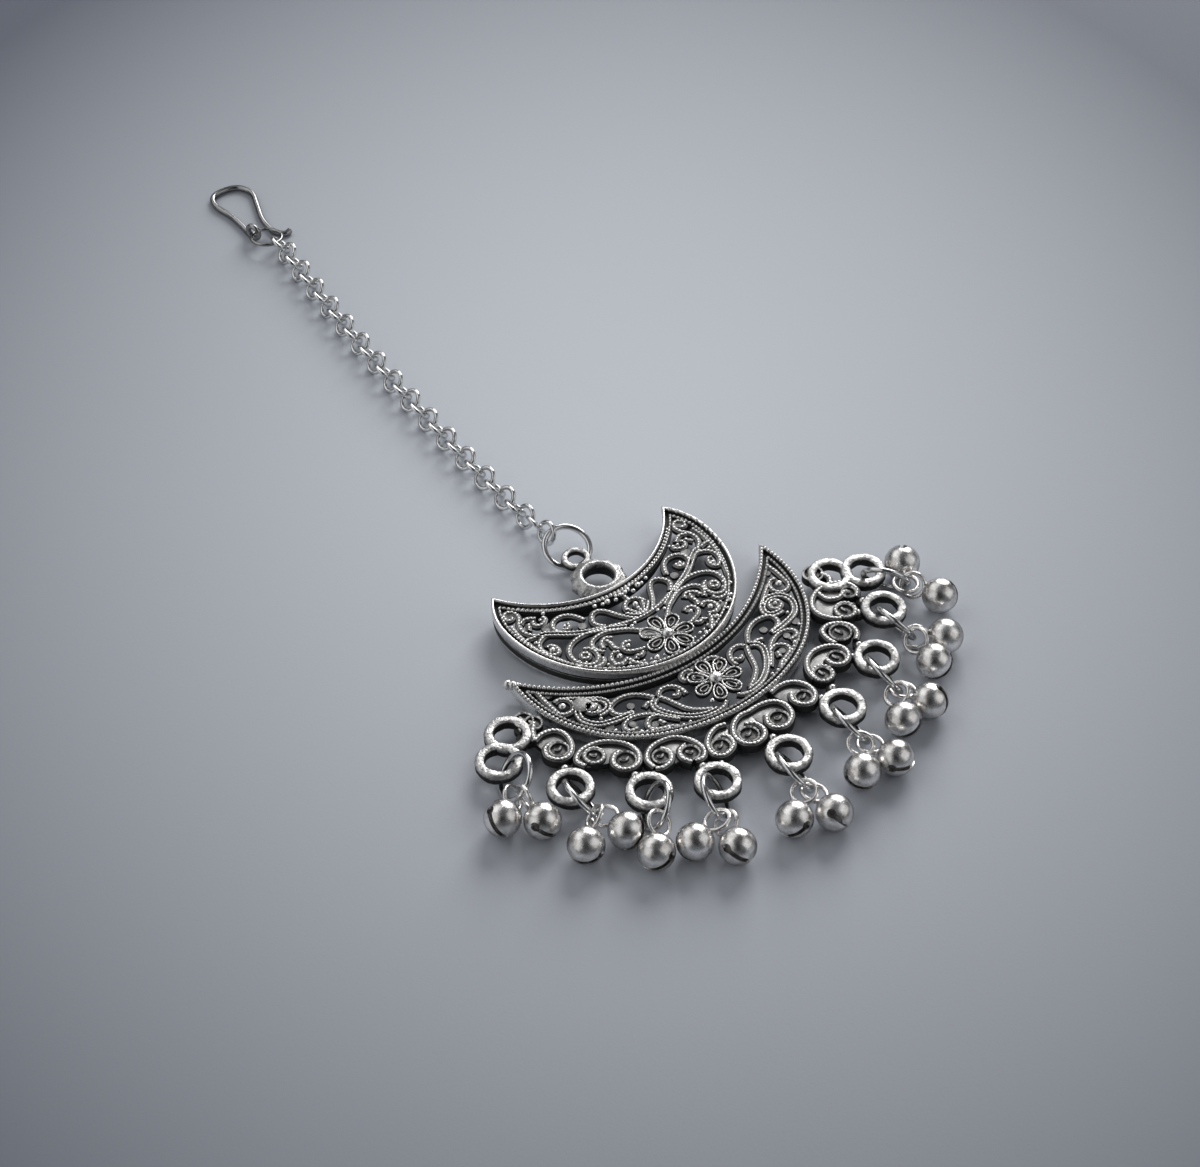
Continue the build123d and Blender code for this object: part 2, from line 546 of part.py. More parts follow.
def bell(row, shell):
    """A bell with its loop, turned to its place."""
    x, y, azimuth, elevation, loop_roll, slot_roll = row
    centre = Vector(x, y, BELL_RADIUS)
    axis = direction(azimuth, elevation)
    side = level_side(azimuth)
    across = side.rotate(Axis((0, 0, 0), axis), slot_roll + 90)
    placed = Plane(origin=centre, x_dir=across, z_dir=axis) * shell
    normal = side.rotate(Axis((0, 0, 0), axis), loop_roll)
    reach = BELL_RADIUS + LOOP_RADIUS - LOOP_SINK
    loop = wire_ring(centre + axis * reach, normal, LOOP_RADIUS, LOOP_WIRE)
    return placed.fuse(loop)


def chain_points():
    """Each link's centre, the chain's azimuth there and the lean of the link's normal."""
    a, b, c = CHAIN_CURVE
    y = CHAIN_START
    points = []
    for k in range(CHAIN_LINKS):
        first = k < len(FIRST_HEIGHTS)
        height = FIRST_HEIGHTS[k] if first else CHAIN_HEIGHT
        lean = FIRST_LEANS[k] if first else CHAIN_LEAN
        slope = b + 2 * c * y
        azimuth = 90 - math.degrees(math.atan(slope))
        points.append((Vector(a + b * y + c * y * y, y, height), azimuth, lean))
        y += LINK_PITCH / math.hypot(1, slope)
    return points


def chain():
    """The links, each a loose ring through the next."""
    links = []
    for k, (centre, azimuth, lean) in enumerate(chain_points()):
        side = 90 if k % 2 == 0 else -90
        normal = direction(azimuth + side, lean)
        links.append(wire_ring(centre, normal, LINK_RADIUS, LINK_WIRE))
    return Compound(links)


def hook():
    """The wire hook: an upright eyelet, the bow and a rounded tip."""
    nodes = biarc_nodes(HOOK_PATH)
    edges = [arc(p[0], q[0], p[1]) for p, q in zip(nodes, nodes[1:])]
    path = Pos(0, 0, HOOK_HEIGHT) * Wire(edges)
    heading = nodes[0][1]
    start = Plane(origin=(*HOOK_PATH[0], HOOK_HEIGHT), z_dir=(*heading, 0))
    wire = sweep(start * Circle(HOOK_WIRE), path=path)
    tip = Pos(*HOOK_PATH[-1], HOOK_HEIGHT) * Sphere(HOOK_TIP)
    eyelet = wire_ring((*HOOK_EYE, HOOK_WIRE + HOOK_EYE_RADIUS), direction(HOOK_EYE_TURN, 0),
                       HOOK_EYE_RADIUS, HOOK_WIRE)
    return wire.fuse(tip, eyelet)


def all_parts():
    """Every piece by its node name, in the layout."""
    parts = {"cast_pendant": cast_pendant(), "chain": chain(), "hook": hook()}
    parts["top_jump_ring"] = jump_ring(TOP_RING, TOP_RING_RADIUS, TOP_RING_WIRE)
    parts["hook_ring"] = jump_ring(HOOK_RING, HOOK_RING_RADIUS, HOOK_RING_WIRE)
    for name, row in DROP_RINGS.items():
        parts["jump_ring_" + name] = jump_ring(row, RING_RADIUS, RING_WIRE)
    shell = bell_shell()
    for name, row in BELLS.items():
        parts["bell_" + name] = bell(row, shell)
    return parts


def main():
    """Build every piece, move it to the part's origin and write it out."""
    os.makedirs("parts", exist_ok=True)
    to_origin = Pos(-ORIGIN[0], -ORIGIN[1], 0)
    for name, solid in all_parts().items():
        export_step(to_origin * solid, f"parts/{name}.step")


if __name__ == "__main__":
    main()
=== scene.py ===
# %% [markdown]
# # A maang tikka in Blender
# A maang tikka is worn on the parting of the hair: a wire hook holds a chain, and the chain holds a
# cast silver pendant over the forehead. This one has two pierced crescents, a scroll border and
# small hollow bells on rings.
#
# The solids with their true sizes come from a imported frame. The bells keep those solids and only
# need good metal. The casting has far finer ornament than a solid model can hold, so it is rebuilt
# here as meshes in the same place. Rings, chain and hook are drawn again as smooth round wire.

# %% Load the frame
from math import asin, atan, atan2, copysign, cos, degrees, dist, hypot, pi, radians, sin, sqrt
from random import random, seed, uniform
import bpy
from mathutils import Matrix, Vector


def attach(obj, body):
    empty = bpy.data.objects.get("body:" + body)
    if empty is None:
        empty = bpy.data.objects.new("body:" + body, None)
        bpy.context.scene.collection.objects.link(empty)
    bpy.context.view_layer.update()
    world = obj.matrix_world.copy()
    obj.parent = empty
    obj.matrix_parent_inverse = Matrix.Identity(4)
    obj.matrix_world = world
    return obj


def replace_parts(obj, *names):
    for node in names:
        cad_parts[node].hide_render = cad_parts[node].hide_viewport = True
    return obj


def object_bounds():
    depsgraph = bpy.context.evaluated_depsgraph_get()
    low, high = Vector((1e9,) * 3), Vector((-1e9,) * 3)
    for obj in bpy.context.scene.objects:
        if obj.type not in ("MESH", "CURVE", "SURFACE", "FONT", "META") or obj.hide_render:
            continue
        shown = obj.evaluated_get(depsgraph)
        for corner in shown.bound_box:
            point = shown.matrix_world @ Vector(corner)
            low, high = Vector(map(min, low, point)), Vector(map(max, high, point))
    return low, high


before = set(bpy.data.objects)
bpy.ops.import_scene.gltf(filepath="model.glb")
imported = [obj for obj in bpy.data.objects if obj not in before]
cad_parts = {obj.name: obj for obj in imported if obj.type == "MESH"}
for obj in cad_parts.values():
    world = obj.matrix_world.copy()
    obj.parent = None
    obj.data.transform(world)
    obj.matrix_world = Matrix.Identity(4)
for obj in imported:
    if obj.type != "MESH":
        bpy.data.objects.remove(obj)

SCENE = bpy.context.scene
CAD_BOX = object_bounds()
MM = 0.001
seed(12)
print("frame:", len(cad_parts), "nodes, box", [round(v, 4) for v in CAD_BOX[1] - CAD_BOX[0]])

# %% [markdown]
# ## Shader maths that reads like maths
# A small class wraps an output socket and overloads the operators, so that a mask can be written as
# `1 - worn * 0.5`. One method makes every other node, from its type, its settings and its inputs.


# %% Socket maths
class Value:
    """An output socket that can be used in expressions."""

    def __init__(self, tree, socket):
        self.tree = tree
        self.socket = socket

    @classmethod
    def node(cls, tree, kind, settings=None, output=0, numbered=None, **named):
        """A node: its settings first, then its inputs by number, or by name with _ for a space."""
        made = tree.nodes.new(kind)
        for key, item in (settings or {}).items():
            setattr(made, key, item)
        for key, item in (numbered or {}).items():
            plug(tree, made.inputs[key], item)
        for key, item in named.items():
            plug(tree, made.inputs[key.replace("_", " ")], item)
        return cls(tree, made.outputs[output])

    def maths(self, operation, *others):
        """A Math node on this value and the others."""
        places = dict(enumerate((self, *others)))
        return Value.node(self.tree, "ShaderNodeMath", {"operation": operation}, numbered=places)

    def __add__(self, other):
        return self.maths("ADD", other)

    def __mul__(self, other):
        return self.maths("MULTIPLY", other)

    def __sub__(self, other):
        return self.maths("SUBTRACT", other)

    def __rsub__(self, other):
        return (self * -1.0) + other

    def __pow__(self, other):
        return self.maths("POWER", other)

    __radd__ = __add__
    __rmul__ = __mul__

    def clamped(self):
        return self.maths("MAXIMUM", 0.0).maths("MINIMUM", 1.0)

    def step(self, low, high):
        """0 below low, 1 above high, and a straight run between."""
        return ((self - low) * (1.0 / (high - low))).clamped()


def plug(tree, target, item):
    """Sets an input to a number or colour, or links it to a Value."""
    if isinstance(item, Value):
        tree.links.new(item.socket, target)
    else:
        target.default_value = item


# %% [markdown]
# ## What every finish needs
# Each finish is one Principled shader, varied by noise in the object's own metres.

# %% Colours, noise and a bare material
COLOUR_A, COLOUR_B = 6, 7  # the colour inputs of a Mix node
MIXED_COLOUR = 2  # and its colour output


def mix_colour(factor, first, second):
    """A blend of two colours, by a factor that is a Value."""
    return Value.node(factor.tree, "ShaderNodeMix", {"data_type": "RGBA"}, MIXED_COLOUR,
                      {COLOUR_A: first, COLOUR_B: second}, Factor=factor)


def grey(level, warm=0.0):
    """A grey of a level, a little warm or cool."""
    return (level * (1 + warm), level, level * (1 - warm), 1.0)


def noise(place, scale, detail):
    """Noise between 0 and 1, its scale in features per metre."""
    return Value.node(place.tree, "ShaderNodeTexNoise", Vector=place, Scale=scale, Detail=detail,
                      Roughness=0.6)


def bare_material(name, metallic=1.0, edge=1.0):
    """A new material, its tree, its shader and its places. A low edge darkens metal at a slant."""
    material = bpy.data.materials.new(name)
    material.use_nodes = True
    tree = material.node_tree
    shader = tree.nodes["Principled BSDF"]
    shader.inputs["Metallic"].default_value = metallic
    shader.inputs["Specular Tint"].default_value = (edge, edge, edge, 1.0)
    place = Value.node(tree, "ShaderNodeTexCoord", output="Object")
    return material, tree, shader, place


def dress(tree, shader, colour, roughness, height, strength, depth):
    """Links colour, roughness and a bump, its depth in millimetres, to the shader."""
    plug(tree, shader.inputs["Base Color"], colour)
    plug(tree, shader.inputs["Roughness"], roughness)
    bump = Value.node(tree, "ShaderNodeBump", Height=height, Strength=strength, Distance=depth * MM)
    plug(tree, shader.inputs["Normal"], bump)


# %% [markdown]
# ## The silvers
# Cast silver is dipped in a blackening bath and then polished: black stays in the recesses, and the
# ridges come up bright. The meshes carry a number at each point, `shine`, from 0 in recesses to 1 on
# ridges, which mixes the two. The cast eyes are pitted and dented more deeply. Bells are spun sheet,
# mottled by handling, and the rest is drawn wire.

# %% Metal finishes
BATH_BLACK = 0.065  # the grey that the bath leaves in a recess


def antique_silver(name, bright, satin, grain, pitted, patchy, hammered):
    """Blackened casting: grain is its pits to a metre, and patchy is how uneven its wear is."""
    material, tree, shader, place = bare_material(name)
    shine = Value.node(tree, "ShaderNodeAttribute", {"attribute_name": "shine"}, "Fac")
    rub = noise(place, 1300.0, 4.0)
    pits = noise(place, grain, 2.0)
    worn = (shine + (rub - 0.5) * patchy).step(0.2, 0.75)
    speck = pits.step(0.36 - pitted * 0.2, 0.50)
    silver = mix_colour(speck, grey(bright * (1 - pitted), 0.03), grey(bright, 0.015))
    colour = mix_colour(worn, grey(BATH_BLACK), silver)
    roughness = (1 - worn) * 0.35 + rub * 0.16 + (satin - 0.06)
    strength, depth = 0.30 + pitted * 0.4, 0.04 + hammered * 0.04
    dress(tree, shader, colour, roughness, pits + rub * hammered, strength, depth)
    return material


def spun_silver(name, level, warm, rough):
    """Spun sheet of a warm grey, mottled by handling, with faint scratches."""
    material, tree, shader, place = bare_material(name, edge=0.45)
    dull = noise(place, 760.0, 4.0)
    stretched = Value.node(tree, "ShaderNodeMapping", Vector=place, Scale=(1.0, 7.0, 3.0))
    scratch = noise(stretched, 2600.0, 2.0)
    mottle = dull.step(0.33, 0.60)
    colour = mix_colour(mottle, grey(level * 0.62, warm * 1.8), grey(level, warm * 0.5))
    roughness = dull * 0.14 + scratch.step(0.55, 0.75) * 0.08 + (rough - 0.06)
    dress(tree, shader, colour, roughness, scratch + dull * 2.0, strength=0.22, depth=0.06)
    return material


def drawn_wire(name, level, rough):
    """Drawn wire, a little uneven from the pliers."""
    material, tree, shader, place = bare_material(name, edge=0.35)
    dull = noise(place, 700.0, 4.0)
    nicks = noise(place, 5200.0, 2.0)
    colour = mix_colour(dull.step(0.3, 0.8), grey(level * 0.72), grey(level))
    roughness = dull * 0.12 + nicks * 0.08 + (rough - 0.08)
    dress(tree, shader, colour, roughness, nicks + dull * 0.6, strength=0.22, depth=0.05)
    return material


CAST = antique_silver("antique_cast_silver", bright=0.86, satin=0.26, grain=9000.0, pitted=0.35,
                      patchy=0.4, hammered=0.5)
EYE_METAL = antique_silver("rough_cast_silver", bright=0.62, satin=0.32, grain=3200.0, pitted=0.75,
                           patchy=1.3, hammered=2.4)
BELL_METAL = spun_silver("polished_bell_silver", level=0.97, warm=0.03, rough=0.25)
RING_METAL = drawn_wire("steel_ring_wire", level=0.90, rough=0.16)
CHAIN_METAL = drawn_wire("bright_chain_wire", level=0.92, rough=0.15)
HOOK_METAL = drawn_wire("hook_wire", level=0.42, rough=0.20)
print("finishes:", [metal.name for metal in (CAST, EYE_METAL, BELL_METAL, RING_METAL, CHAIN_METAL)])

# %% [markdown]
# ## Places
# Drawings are in millimetres. The crescents are drawn in (u, y), symmetric about u = 0, and the
# rest in a layout of the whole table. Two small functions carry both to metres in the frame.

# %% From the drawings to the frame
ORIGIN = (-0.605, 42.914)  # the layout point that is the frame's origin
TURN = radians(1.5)  # the pendant's turn on the table
PIVOT = (-0.3, 0.0)  # the layout point that it turns about
PIVOT_Y = 3.0  # the same point's y in the crescents' drawing


def layout(x, y, z):
    return Vector((x - ORIGIN[0], y - ORIGIN[1], z)) * MM


def crescent(u, y, z):
    v = y - PIVOT_Y
    x = PIVOT[0] + u * cos(TURN) - v * sin(TURN)
    return layout(x, PIVOT[1] + u * sin(TURN) + v * cos(TURN), z)


# %% [markdown]
# ## One builder for every mesh
# Nearly all of the casting is a section carried along a line, with a shine for each point. One
# builder collects grids of such points and turns them into a single mesh at the end.

# %% The mesh builder
SHARP = radians(50)  # edges sharper than this stay sharp


class Builder:
    """Collects grids of points and makes one mesh of them."""

    def __init__(self):
        self.points, self.shine, self.faces = [], [], []

    def grid(self, rows, shine, closed=False, caps=False):
        """Quads over rows of points. shine is a row of numbers, or one row for each row of points."""
        first, wide = len(self.points), len(rows[0])
        for index, row in enumerate(rows):
            self.points += row
            self.shine += shine[index] if isinstance(shine[0], list) else shine
        for i in range(len(rows) if closed else len(rows) - 1):
            a, b = first + i * wide, first + ((i + 1) % len(rows)) * wide
            for j in range(wide):
                k = (j + 1) % wide
                self.faces.append((a + j, a + k, b + k, b + j))
        if caps and not closed:
            last = first + (len(rows) - 1) * wide
            self.faces.append(tuple(range(first + wide - 1, first - 1, -1)))
            self.faces.append(tuple(range(last, last + wide)))

    def make(self, name, material, slot):
        """The mesh object, smooth but for its sharp edges."""
        mesh = bpy.data.meshes.new(name)
        mesh.from_pydata(self.points, [], self.faces)
        mesh.attributes.new("shine", "FLOAT", "POINT").data.foreach_set("value", self.shine)
        mesh.validate()
        mesh.update()
        piece = bpy.data.objects.new(name, mesh)
        SCENE.collection.objects.link(piece)
        mesh.materials.append(material)
        mesh.shade_smooth()
        mesh.set_sharp_from_angle(angle=SHARP)
        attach(piece, "root")
        print(f"{name}: {len(self.points)} points, {len(self.faces)} faces")
        return piece


# %% [markdown]
# ## Smooth lines
# A Catmull-Rom curve runs through a few chosen points and keeps a scroll in one sweep. It is then
# divided evenly, as the grains on a milled wire are all one size.


# %% Lines
def smooth(points, per_span=10, closed=False):
    """A Catmull-Rom curve through flat points."""
    count = len(points)
    if count == 2:
        return [tuple(p) for p in points]
    line = []
    for i in range(count if closed else count - 1):
        near = [(i + k) % count if closed else min(max(i + k, 0), count - 1) for k in (-1, 0, 1, 2)]
        a, b, c, d = (points[k] for k in near)
        for k in range(per_span):
            t = k / per_span
            line.append(tuple(0.5 * (2 * q + (r - p) * t + (2 * p - 5 * q + 4 * r - s) * t * t
                                     + (3 * q - p - 3 * r + s) * t ** 3)
                              for p, q, r, s in zip(a, b, c, d)))
    if not closed:
        line.append(tuple(points[-1]))
    return line


def even(line, spacing, closed=False):
    """The line divided into even steps."""
    loop = line + line[:1] if closed else line
    lengths = [dist(p, q) for p, q in zip(loop, loop[1:])]
    steps = max(2, round(sum(lengths) / spacing))
    step = sum(lengths) / steps
    points, index, used = [loop[0]], 0, 0.0
    for k in range(1, steps if closed else steps + 1):
        goal = k * step
        while index < len(lengths) - 1 and used + lengths[index] < goal:
            used += lengths[index]
            index += 1
        share = min(1.0, (goal - used) / max(lengths[index], 1e-9))
        points.append(tuple(p + (q - p) * share for p, q in zip(loop[index], loop[index + 1])))
    return points


def beside(line, i, closed):
    """The points before and after point i of a line."""
    last = len(line) - 1
    if closed:
        return line[i - 1], line[0 if i == last else i + 1]
    return line[max(i - 1, 0)], line[min(i + 1, last)]


def sides(line, closed):
    """The unit normal on the left of each point of a flat line."""
    normals = []
    for i in range(len(line)):
        before, after = beside(line, i, closed)
        size = dist(before, after) or 1.0
        normals.append((-(after[1] - before[1]) / size, (after[0] - before[0]) / size))
    return normals


def shifted(line, offset, closed):
    """The line moved to its left."""
    return [(x + nx * offset, y + ny * offset) for (x, y), (nx, ny) in zip(line, sides(line, closed))]


def mirrored(line):
    return [(-u, y) for u, y in line]


def turns(count):
    """Angles in even steps, once round."""
    return [2 * pi * k / count for k in range(count)]


def polar(middle, reach, angle):
    """The point at a reach and an angle from the middle."""
    return middle[0] + reach * cos(angle), middle[1] + reach * sin(angle)


def circle(x, y, radius, count=28):
    return [polar((x, y), radius, angle) for angle in turns(count)]


def arc(middle, radius, start, stop, steps):
    """Points along part of a circle, with both ends."""
    return [polar(middle, radius, start + (stop - start) * k / steps) for k in range(steps + 1)]


# %% [markdown]
# ## Milled wire
# The scrolls are milled: a strip with straight dark sides, whose top is pressed into a row of tiny
# grains that catch the light. Under most lines lies a flat dark bed, which ties them into one plate.

# %% Milled strips, beds and strands
GRAIN = 0.52  # length of one grain, mm
STEPS = 5  # divisions of a grain
STRIP_SHINE = [0.0, 0.1, 0.55, 0.95, 1.0, 0.95, 0.55, 0.1, 0.0]
BED_SHINE = [0.0, 0.1, 0.32, 0.32, 0.1, 0.0]
END_TAPER = 0.6  # width of an open strip's first and last section


def milled(builder, line, place, width, low, high, depth, closed=False, grain=GRAIN):
    """A milled strip along a flat line, from height low to height high."""
    points = even(line, grain / STEPS, closed)
    normals = sides(points, closed)
    half, tall = width / 2, high - low
    rows, marks = [], []
    for index, ((x, y), (nx, ny)) in enumerate(zip(points, normals)):
        swell = abs(sin(pi * index / STEPS)) ** 0.6
        fit = 1 - depth * 0.45 * (1 - swell)
        drop = depth * 0.55 * width * (1 - swell)
        marks.append([mark * (1 - depth * 0.75 * (1 - swell)) for mark in STRIP_SHINE])
        section = [(-1.0, 0.0), (-1.0, tall * 0.45), (-0.92 * fit, tall * 0.68), (-0.6 * fit, tall * 0.9),
                   (0.0, tall), (0.6 * fit, tall * 0.9), (0.92 * fit, tall * 0.68), (1.0, tall * 0.45),
                   (1.0, 0.0)]
        taper = END_TAPER if not closed and index in (0, len(points) - 1) else 1.0
        rows.append([place(x + nx * across * half * taper, y + ny * across * half * taper,
                           low + rise - (drop if 1 < k < 7 else 0.0))
                     for k, (across, rise) in enumerate(section)])
    builder.grid(rows, marks, closed=closed, caps=True)


def bed(builder, line, place, width, low, high, closed):
    """A dark flat strip, which carries the milled lines."""
    points = even(line, 0.22, closed)
    normals = sides(points, closed)
    section = [(-1.0, low), (-1.0, high - 0.1), (-0.8, high), (0.8, high), (1.0, high - 0.1), (1.0, low)]
    rows = [[place(x + nx * a * width / 2, y + ny * a * width / 2, z) for a, z in section]
            for (x, y), (nx, ny) in zip(points, normals)]
    builder.grid(rows, BED_SHINE, closed=closed, caps=True)


def strand(builder, line, place, low, high, base=0.85, wide=0.34, lines=(0.0,), closed=False, depth=0.55):
    """A filigree strand: a dark bed with one or more bright milled lines on it."""
    bed(builder, line, place, base, low, high - 0.24, closed)
    for offset in lines:
        milled(builder, shifted(line, offset, closed), place, wide, high - 0.34, high, depth, closed)


# %% [markdown]
# ## Balls and plates
# A ball is rings of points from pole to pole. A plate is one outline, drawn from the middle of its
# underside out over its edge and back in.


# %% Balls and plates
def ball(builder, x, y, height, radius, place, squash=1.0, rings=8, segments=16):
    """A round bead, whole or pressed flat."""
    rows, marks = [], []
    for i in range(rings + 1):
        tilt = pi * i / rings
        ring = max(sin(tilt), 0.01) * radius
        up = cos(tilt) * radius * squash
        rows.append([place(px, py, height + up) for px, py in circle(x, y, ring, segments)])
        marks.append([max(0.1, min(1.0, 0.75 + 0.6 * cos(tilt)))] * segments)
    builder.grid(rows, marks, caps=True)


def beads(builder, line, place, radius, height, spacing, squash=0.8):
    """Small beads in even steps along a line."""
    for x, y in even(line, spacing):
        ball(builder, x, y, height, radius, place, squash, 6, 12)


def plate(builder, outline, place, low, high, shine):
    """A flat plate of an outline, which may be any star-shaped loop."""
    centre = [sum(c) / len(outline) for c in zip(*outline)]
    rows, marks = [], []
    for scale, height, mark in ((0.01, low, 0.0), (1.0, low, 0.0), (1.0, high - 0.05, 0.1),
                                (0.94, high, shine), (0.01, high, shine)):
        rows.append([place(centre[0] + (x - centre[0]) * scale, centre[1] + (y - centre[1]) * scale, height)
                     for x, y in outline])
        marks.append([mark] * len(outline))
    builder.grid(rows, marks, caps=True)


# %% [markdown]
# ## Crescents from circles
# Both crescents are drawn with a compass: an outer arc, a shoulder arc that runs on from it to the
# tip, and an inner arc. An arc moved inwards is an arc about the same centre, so every moulding of
# the rim is exact.

# %% The crescent outline at any inset
ARC_STEPS = 120  # along the whole outer line, and along the inner one


class Crescent:
    """A compass-drawn crescent, symmetric about u = 0."""

    def __init__(self, bottom, shoulder, tip, inner):
        su, sy = shoulder
        self.middle = (0.0, (su * su + sy * sy - bottom * bottom) / (2 * (sy - bottom)))
        self.radius = self.middle[1] - bottom
        toward = ((self.middle[0] - su) / self.radius, (self.middle[1] - sy) / self.radius)
        gap = (tip[0] - su, tip[1] - sy)
        self.reach = (gap[0] ** 2 + gap[1] ** 2) / (2 * (gap[0] * toward[0] + gap[1] * toward[1]))
        self.elbow = (su + toward[0] * self.reach, sy + toward[1] * self.reach)
        self.turn = atan2(sy - self.middle[1], su)
        self.hollow = (0.0, (tip[0] ** 2 + tip[1] ** 2 - inner * inner) / (2 * (tip[1] - inner)))
        self.hollow_radius = self.hollow[1] - inner

    def corner(self, inset):
        """The right tip of the outline moved inwards."""
        r1, r2 = self.reach - inset, self.hollow_radius + inset
        dx, dy = self.hollow[0] - self.elbow[0], self.hollow[1] - self.elbow[1]
        apart = hypot(dx, dy)
        along = (r1 * r1 - r2 * r2 + apart * apart) / (2 * apart)
        off = sqrt(max(r1 * r1 - along * along, 0.0))
        foot = (self.elbow[0] + along * dx / apart, self.elbow[1] + along * dy / apart)
        both = [(foot[0] + s * off * dy / apart, foot[1] - s * off * dx / apart) for s in (1, -1)]
        return max(both, key=lambda p: p[0])

    def outer(self, inset):
        """The outer line from the left tip round to the right tip."""
        corner = self.corner(inset)
        last = atan2(corner[1] - self.elbow[1], corner[0] - self.elbow[0])
        right = arc(self.elbow, self.reach - inset, last, self.turn, ARC_STEPS // 4)
        right += arc(self.middle, self.radius - inset, self.turn, -pi / 2, ARC_STEPS // 2)[1:]
        return mirrored(right) + right[-2::-1]

    def inner(self, inset):
        """The inner line from the right tip to the left tip."""
        corner = self.corner(inset)
        start = atan2(corner[1] - self.hollow[1], corner[0])
        return arc(self.hollow, self.hollow_radius + inset, start, -pi - start, ARC_STEPS)

    def loop(self, inset):
        """The whole outline moved inwards, anticlockwise, always with the same number of points."""
        return self.outer(inset)[:-1] + self.inner(inset)[:-1]


BOWL, BOWL_MIDDLE = 16.6, 16.95  # radius and height of the upper crescent's outer circle
SHOULDER = radians(3.6)  # where on it the shoulder starts
UPPER = Crescent(bottom=0.35, tip=(14.1, 23.8), inner=15.8,
                 shoulder=(BOWL * cos(SHOULDER), BOWL_MIDDLE + BOWL * sin(SHOULDER)))
LOWER = Crescent(bottom=-10.4, tip=(20.6, 11.2), inner=0.65, shoulder=(11.0, -8.0))
print("upper shoulder radius", round(UPPER.reach, 2), "lower shoulder radius", round(LOWER.reach, 2))

# %% [markdown]
# ## The rims
# The upper crescent's side is a bright band over a dark groove and a flange, with a thin ridge and a
# sunk channel on top. The lower one is plainer. Each is one section carried round the outline.

# %% Rims: rows of inset, height and shine
UPPER_SECTION = [(0.85, 1.00, 0.0), (0.24, 1.00, 0.3), (0.15, 1.06, 0.9), (0.15, 1.22, 0.6),
    (0.17, 1.34, 0.1), (0.17, 2.06, 0.12), (0.22, 2.14, 0.4), (0.44, 2.18, 0.0), (0.44, 2.52, 0.0),
    (0.06, 2.58, 0.5), (0.0, 2.68, 0.8), (0.0, 3.66, 0.8), (0.04, 3.82, 1.0), (0.17, 3.90, 1.0),
    (0.32, 3.86, 1.0), (0.40, 3.72, 0.5), (0.42, 3.30, 0.0), (0.62, 3.22, 0.0), (0.92, 3.22, 0.0),
    (1.38, 3.22, 0.0), (1.42, 2.85, 0.0), (0.80, 2.80, 0.0)]
LOWER_SECTION = [(0.80, 0.90, 0.0), (0.14, 0.90, 0.3), (0.04, 1.00, 0.7), (0.0, 1.10, 0.9),
    (0.0, 2.70, 0.9), (0.06, 2.80, 0.6), (0.20, 2.84, 0.3), (0.48, 2.82, 0.0), (0.56, 2.70, 0.0),
    (0.64, 2.42, 0.0), (0.95, 2.40, 0.0), (1.38, 2.38, 0.0), (1.42, 2.05, 0.0), (0.80, 2.00, 0.0)]


def rim(builder, shape, section):
    loops = [[crescent(u, y, height) for u, y in shape.loop(inset)] for inset, height, shine in section]
    rows = [list(points) for points in zip(*loops)]
    builder.grid(rows, [shine for inset, height, shine in section], closed=True)


rims = Builder()
rim(rims, UPPER, UPPER_SECTION)
rim(rims, LOWER, LOWER_SECTION)
crescent_rims = rims.make("crescent_rims", CAST, "casting")
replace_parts(crescent_rims, "cast_pendant")

# %% [markdown]
# ## Milled edges
# A row of grains runs inside each rim, with a second one in the upper rim's channel. Larger beads
# climb the upper crescent's right side, and three balls sit on the lower one's left tip.

# %% Milled edges
TIP_BALLS = ((-21.45, 7.55, 0.64), (-21.0, 7.1, 0.6), (-20.6, 6.6, 0.5))  # x, y and radius

edges = Builder()
milled(edges, UPPER.loop(1.02), crescent, 0.40, 3.1, 3.66, closed=True, grain=0.60, depth=0.9)
channel = [(u, y) for u, y in UPPER.inner(0.68) if abs(u) < 12.5]
milled(edges, channel, crescent, 0.46, 3.1, 3.52, grain=0.62, depth=1.0)
milled(edges, LOWER.loop(0.30), crescent, 0.54, 2.5, 3.1, closed=True, grain=0.62, depth=0.8)
milled(edges, LOWER.loop(1.06), crescent, 0.40, 2.25, 2.84, closed=True, grain=0.60, depth=0.9)
right_side = [(u, y) for u, y in UPPER.outer(0.30) if u > 14.6 and y > 13.5]
beads(edges, right_side, crescent, 0.30, 3.74, 1.05, squash=1.0)
for x, y, radius in TIP_BALLS:
    ball(edges, x, y, 2.45, radius, layout)
edges.make("milled_edges", CAST, "casting")

# %% [markdown]
# ## Filigree in the crescents
# The scrolls are drawn once for the right half and mirrored. Small rings, flat discs and balls fill
# the gaps between them.

